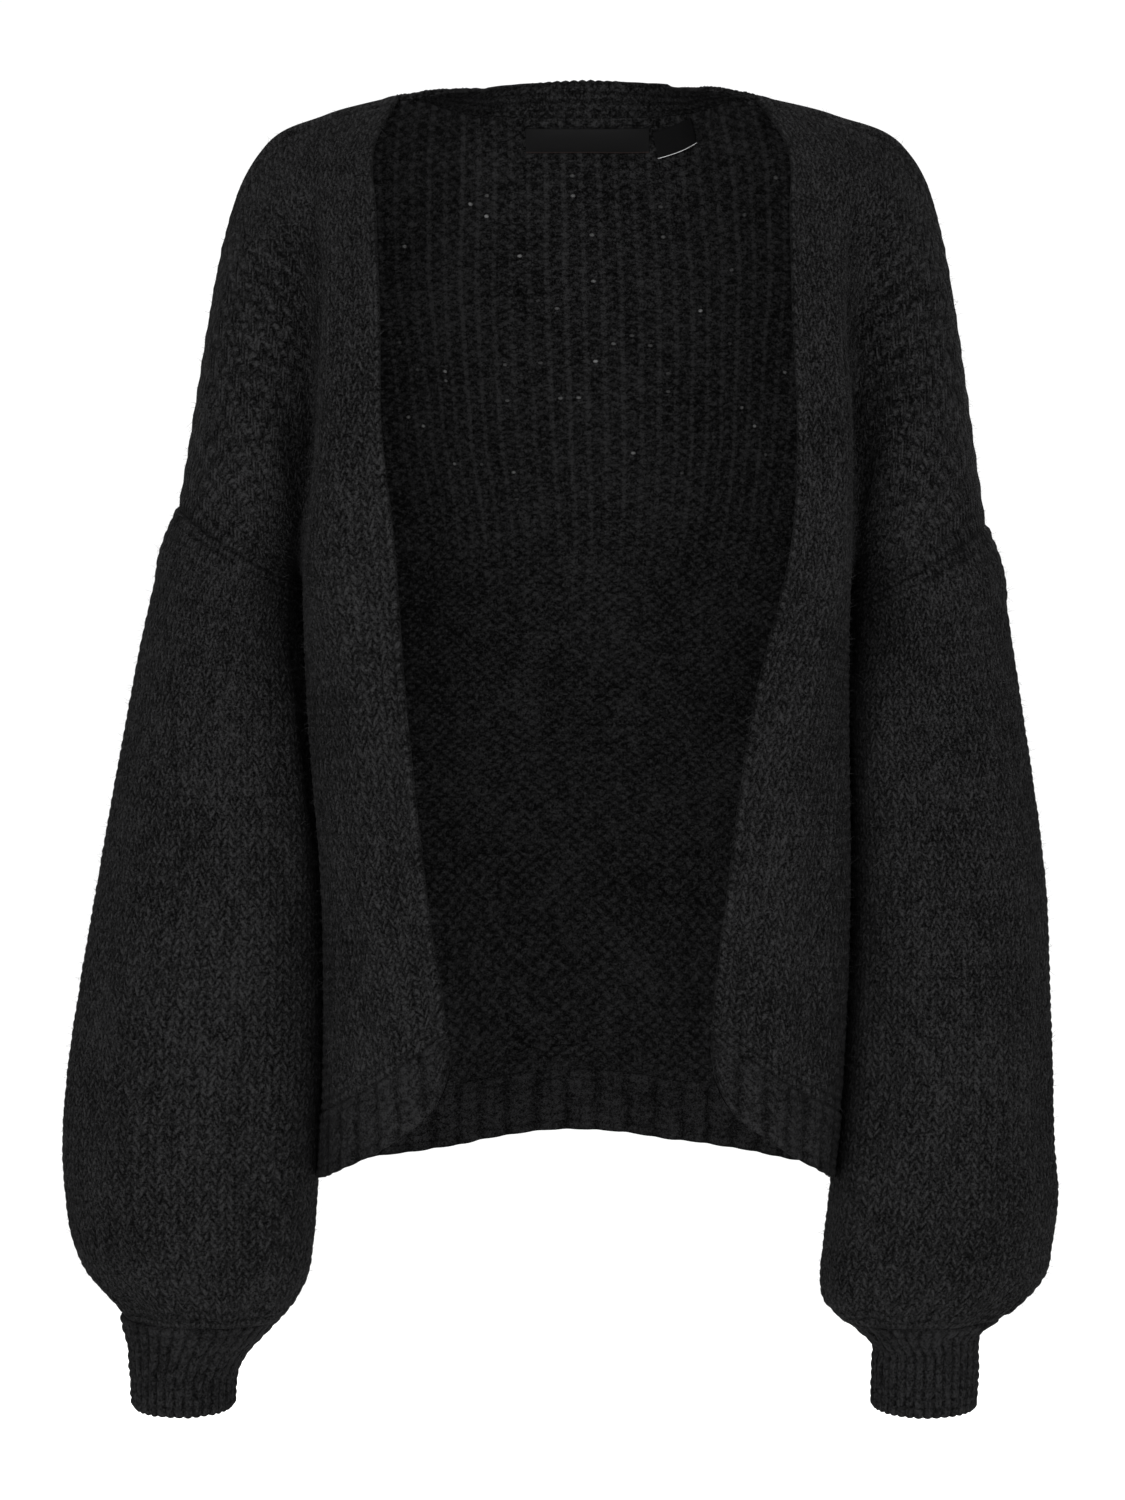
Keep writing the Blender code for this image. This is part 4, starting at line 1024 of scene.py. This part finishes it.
hems = [("hem_back", "back", BACK_HEM_OUT, hem_back_shape, "tlr", (0.52, 0.036))]
hems += [(f"hem_front_{side}", f"front_{side}", FRONT_HEM_OUT, partial(hem_front_shape, side),
          "tr", (0.17, 0.036)) for side in SIDES]
for node, panel_name, stitches, shape, sewn, flat in hems:
    hem = knitted_wall(f"{node}_rib", (shape, stitches, OUTSIDE_DEPTH),
                       (shape, stitches, RIB_WALL), sewn=sewn)
    raise_stitches(hem, RIBBING, HEM_RIB_RISE, HEM_INSIDE_RISE, (rib_yarn, rib_yarn), uneven=1.0)
    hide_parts(node)
    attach(hem, "root")

# ==================================================================== the neckband
# A narrow band picked up round the back of the neck, knitted from both shoulders and
# joined at the middle of the back. It stands up there and lies down at each shoulder.
NECK_PLACE = BACK_PLACES[2]
NECKBAND_HEIGHT, BAND_RISE, BAND_INSIDE_RISE, BAND_DEPTH = 19.5, 1.5, 1.0, 0.8
BAND_OUT_FROM = 28.0     # how far down the back its foot takes the way that it faces
NECKBAND_LEAN, NECKBAND_LEAN_BY, NECKBAND_TURN = math.radians(74.0), 0.85, 0.72
NECKBAND_WALES, NECKBAND_COURSES = 44, 4
Trim = namedtuple("Trim", "x lift")
BAND_TRIMS = (           # how far the band's upper edge is eased up or down, along its length
    Trim(-104, 0.0), Trim(-91, -1.5), Trim(-80, -3.6), Trim(-70, -1.6), Trim(-63, 0.5),
    Trim(-55, 2.8), Trim(-47, 1.6), Trim(-36, 0.0), Trim(-20, -0.5), Trim(0, 0.2), Trim(30, 0.4),
    Trim(41, 1.2), Trim(52, 3.7), Trim(60, 2.6), Trim(69, 0.2), Trim(80, -1.8), Trim(91, -0.4),
    Trim(104, 0.0),
)
BAND_STITCHES = Stitches(NECKBAND_WALES, NECKBAND_COURSES, columns=4, rows=3, slant=0.9)


def neckband_shape(wale, course):
    share = wale[0] / NECKBAND_WALES * 2 - 1
    down = np.repeat([[0.0], [BAND_OUT_FROM], [BAND_OUT_FROM + 1.0]], len(share), axis=1)
    points, normals = two_halves(down, np.repeat([share * NECK_PLACE], 3, axis=0))
    foot, out = points[0], normals[1]
    inward = unit(np.cross(unit(np.gradient(foot, axis=0)), [0.0, 0.0, 1.0]))
    shoulder = np.stack([-np.sign(share), 0 * share, 0 * share], axis=1)
    to_end = smoothstep(NECKBAND_TURN, 1.0, np.abs(share))[:, None]
    inward = unit(inward * (1 - to_end) + shoulder * to_end)
    lean = NECKBAND_LEAN * smoothstep(0.0, NECKBAND_LEAN_BY, np.abs(share))[:, None]
    upward = np.array([0.0, 0.0, 1.0]) * np.cos(lean) + inward * np.sin(lean)
    up = (course / NECKBAND_COURSES)[..., None]
    eased = np.interp((foot + upward * NECKBAND_HEIGHT)[..., 0], [trim.x for trim in BAND_TRIMS],
                      [trim.lift for trim in BAND_TRIMS])
    rows = foot + upward * NECKBAND_HEIGHT * up + np.array([0, 0, 1]) * eased[:, None] * up
    normals = turned_out(rows, grid_normals(rows), rows - out)
    normals[0] = out
    normals[:, [0, -1], 1] = 0.0
    return rows, unit(normals)


neckband = knitted_wall("neckband_rib", (neckband_shape, BAND_STITCHES, BAND_DEPTH),
                        (neckband_shape, BAND_STITCHES, WALL - BACK_BUMPS), sewn="tlr")
raise_stitches(neckband, STOCKINETTE, BAND_RISE, BAND_INSIDE_RISE, (outside_yarn, inside_yarn))
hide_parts("neckband")
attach(neckband, "root")

# ==================================================================== neck label, care tab
# A black satin label sewn inside the back of the neck by its two ends, left blank, with a
# brown thread along its lower edge, and beside it a small folded care tab, blank too.
LABEL_WIDTH, LABEL_HEIGHT, LABEL_CENTRE_X, LABEL_TOP_DROP = 70.0, 12.5, 7.0, 4.7
LABEL_WALL, LABEL_CREST, LABEL_REACH = 0.8, 0.2, 48.0
LABEL_STAND, LABEL_SWELL = 0.7, 0.9      # off the bumps at its ends, and in its middle
SATIN = (0.0016, 0.0016, 0.0017)
TAB_WIDTH, TAB_HEIGHT, TAB_TILT, TAB_GAP = 23.0, 14.0, math.radians(14.0), 2.0
TAB_DROP, TAB_STAND, TAB_SWELL, TAB_LIFT = 7.0, 0.8, 0.5, 1.5


def satin_material(name, line_colour, line_from):
    """Black woven satin: a fine weave, and one coloured thread along the lower edge."""
    material, tree, shader = new_material(name, {"Roughness": 0.55, "Specular IOR Level": 0.05})
    add = partial(Wire.node, tree)
    across, down, _ = add("ShaderNodeUVMap", uv_map="weave").split()
    weft, warp = down.wave(60), across.wave(280) * 0.4
    slub = add("ShaderNodeTexCoord", output="Object").noise(400.0)
    tone = (weft * 0.3 + slub * 0.4).mix(*([c * times for c in SATIN] for times in (0.75, 1.3)))
    line = down.between(line_from, line_from + 0.02)
    line.mix(tone, line_colour).into(shader.inputs["Base Color"])
    bump = add("ShaderNodeBump", {"Strength": 0.25, "Distance": 0.0002, "Height": weft + warp})
    bump.into(shader.inputs["Normal"])
    return material


def inside_of_back(xs, drops):
    """Points and outward normals on the inner face of the back, for places given by their
    distance from the middle and their drop below the neckline."""
    levels, half = np.linspace(0.0, LABEL_REACH, 25), np.linspace(0.0, NECK_PLACE, 30)
    down, share = np.meshgrid(levels, np.concatenate([-half[:0:-1], half]), indexing="ij")
    points, normals = two_halves(down, share)
    rows = []
    for row in np.concatenate([points - normals * WALL, normals], axis=2):
        row = row[np.argsort(row[:, 0])]
        rows.append(np.stack([np.interp(xs, row[:, 0], row[:, k]) for k in range(6)], axis=-1))
    rows = np.array(rows)
    level = np.clip(drops / levels[1], 0, len(levels) - 1.001)
    row, here = level.astype(int), np.indices(xs.shape)
    part = (level - row)[..., None]
    read = rows[(row, *here)] * (1 - part) + rows[(row + 1, *here)] * part
    return read[..., :3], unit(read[..., 3:])


def satin_piece(name, points, outs, material):
    """A closed thin strip of satin, with its weave map across and down."""
    rows, columns = points.shape[:2]
    both = np.concatenate([points.reshape(-1, 3), (points - outs * LABEL_WALL).reshape(-1, 3)])
    grid = np.arange(rows * columns).reshape(rows, columns)
    back = grid + rows * columns
    faces = []
    for r in range(rows - 1):
        for c in range(columns - 1):
            faces.append((grid[r, c], grid[r, c + 1], grid[r + 1, c + 1], grid[r + 1, c]))
            faces.append((back[r, c], back[r + 1, c], back[r + 1, c + 1], back[r, c + 1]))
    ring = list(grid[0]) + list(grid[1:, -1]) + list(grid[-1, -2::-1]) + list(grid[-2:0:-1, 0])
    for a, b in zip(ring, ring[1:] + ring[:1]):
        faces.append((b, a, a + rows * columns, b + rows * columns))
    mesh = bpy.data.meshes.new(name)
    mesh.from_pydata((both * MM).tolist(), [], [[int(v) for v in f] for f in faces])
    down, across = np.meshgrid(np.linspace(0, 1, rows), np.linspace(0, 1, columns), indexing="ij")
    weave = np.tile(np.stack([across, down], axis=-1).reshape(-1, 2), (2, 1)).astype(np.float32)
    loops = np.zeros(len(mesh.loops), np.int32)
    mesh.loops.foreach_get("vertex_index", loops)
    mesh.uv_layers.new(name="weave").data.foreach_set("uv", weave[loops].ravel())
    faced_out(mesh)
    mesh.set_sharp_from_angle(angle=math.radians(50))
    mesh.materials.append(material)
    return placed(name, mesh)


along, level = np.meshgrid(np.linspace(-0.5, 0.5, 57), np.linspace(0, 1, 13))
points, outs = inside_of_back(LABEL_CENTRE_X + along * LABEL_WIDTH,
                              LABEL_TOP_DROP + level * LABEL_HEIGHT)
swell = (1 - (2 * np.abs(along)) ** 6) * np.sin(np.pi * np.clip(level, 0.02, 0.98)) ** 0.5
points = points - outs * (LABEL_STAND + LABEL_CREST + LABEL_SWELL * swell[..., None])
neck_label = satin_piece("neck_label_satin", points, outs, satin_material(
    "black_satin_label", (0.0085, 0.0052, 0.0046), 0.95))
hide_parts("neck_label")
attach(neck_label, "root")

along, level = np.meshgrid(np.linspace(0, TAB_WIDTH, 25), np.linspace(0, TAB_HEIGHT, 13))
xs = along * math.cos(TAB_TILT) + level * math.sin(TAB_TILT)
drops = level * math.cos(TAB_TILT) - along * math.sin(TAB_TILT)
points, outs = inside_of_back(LABEL_CENTRE_X + LABEL_WIDTH / 2 + TAB_GAP + xs, TAB_DROP + drops)
lift = TAB_LIFT * along / TAB_WIDTH + TAB_SWELL * np.sin(np.pi * along / TAB_WIDTH)
points = points - outs * (TAB_STAND + LABEL_CREST + lift)[..., None]
care_tab = satin_piece("care_tab_satin", points, outs, satin_material(
    "black_satin_tab", (0.36, 0.36, 0.36), 0.97))
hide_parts("care_tab")
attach(care_tab, "root")

# ==================================================================== floor, light, camera
FLOOR_HALF, FLOOR_HEIGHT = 30, -1.5
floor_mesh = bpy.data.meshes.new("floor")
floor_mesh.from_pydata([(x * FLOOR_HALF, y * FLOOR_HALF, FLOOR_HEIGHT)
                        for x, y in ((-1, -1), (1, -1), (1, 1), (-1, 1))], [], [(0, 1, 2, 3)])
floor_mesh.materials.append(new_material("pale_floor", {
    "Base Color": (0.97, 0.97, 0.97, 1.0), "Roughness": 0.9})[0])
placed("floor", floor_mesh)

world = bpy.data.worlds.new("white_surround")
bpy.context.scene.world = world
world.use_nodes = True
surround = world.node_tree.nodes["Background"].inputs
surround["Color"].default_value, surround["Strength"].default_value = (1.0, 1.0, 1.0, 1.0), 1.05
bpy.context.scene.view_settings.view_transform = "Standard"

Softbox = namedtuple("Softbox", "name place aim size power")
SOFTBOXES = (
    Softbox("soft_left", (-0.9, -3.0, 0.6), (0, 0, -0.35), 1.6, 95),
    Softbox("soft_right", (1.0, -3.0, 0.4), (0, 0, -0.35), 1.6, 80),
    Softbox("soft_top", (0.0, -0.9, 2.4), (0, 0, -0.2), 1.8, 20),
    Softbox("soft_back", (0.3, 3.2, 0.5), (0, 0, -0.35), 1.8, 105),
)


def aimed(obj, place, aim):
    obj.location = place
    direction = Vector(aim) - Vector(place)
    obj.rotation_euler = direction.to_track_quat("-Z", "Y").to_euler()


for box in SOFTBOXES:
    light = bpy.data.lights.new(box.name, "AREA")
    light.size, light.energy = box.size, box.power
    aimed(placed(box.name, light), box.place, box.aim)

lens = bpy.data.cameras.new("camera")
lens.lens, lens.sensor_width = 104.2, 36.0
camera = placed("camera", lens)
aimed(camera, (0.0, -2.40, -0.14), (-0.0069, 0.0, -0.3619))
bpy.context.scene.camera = camera
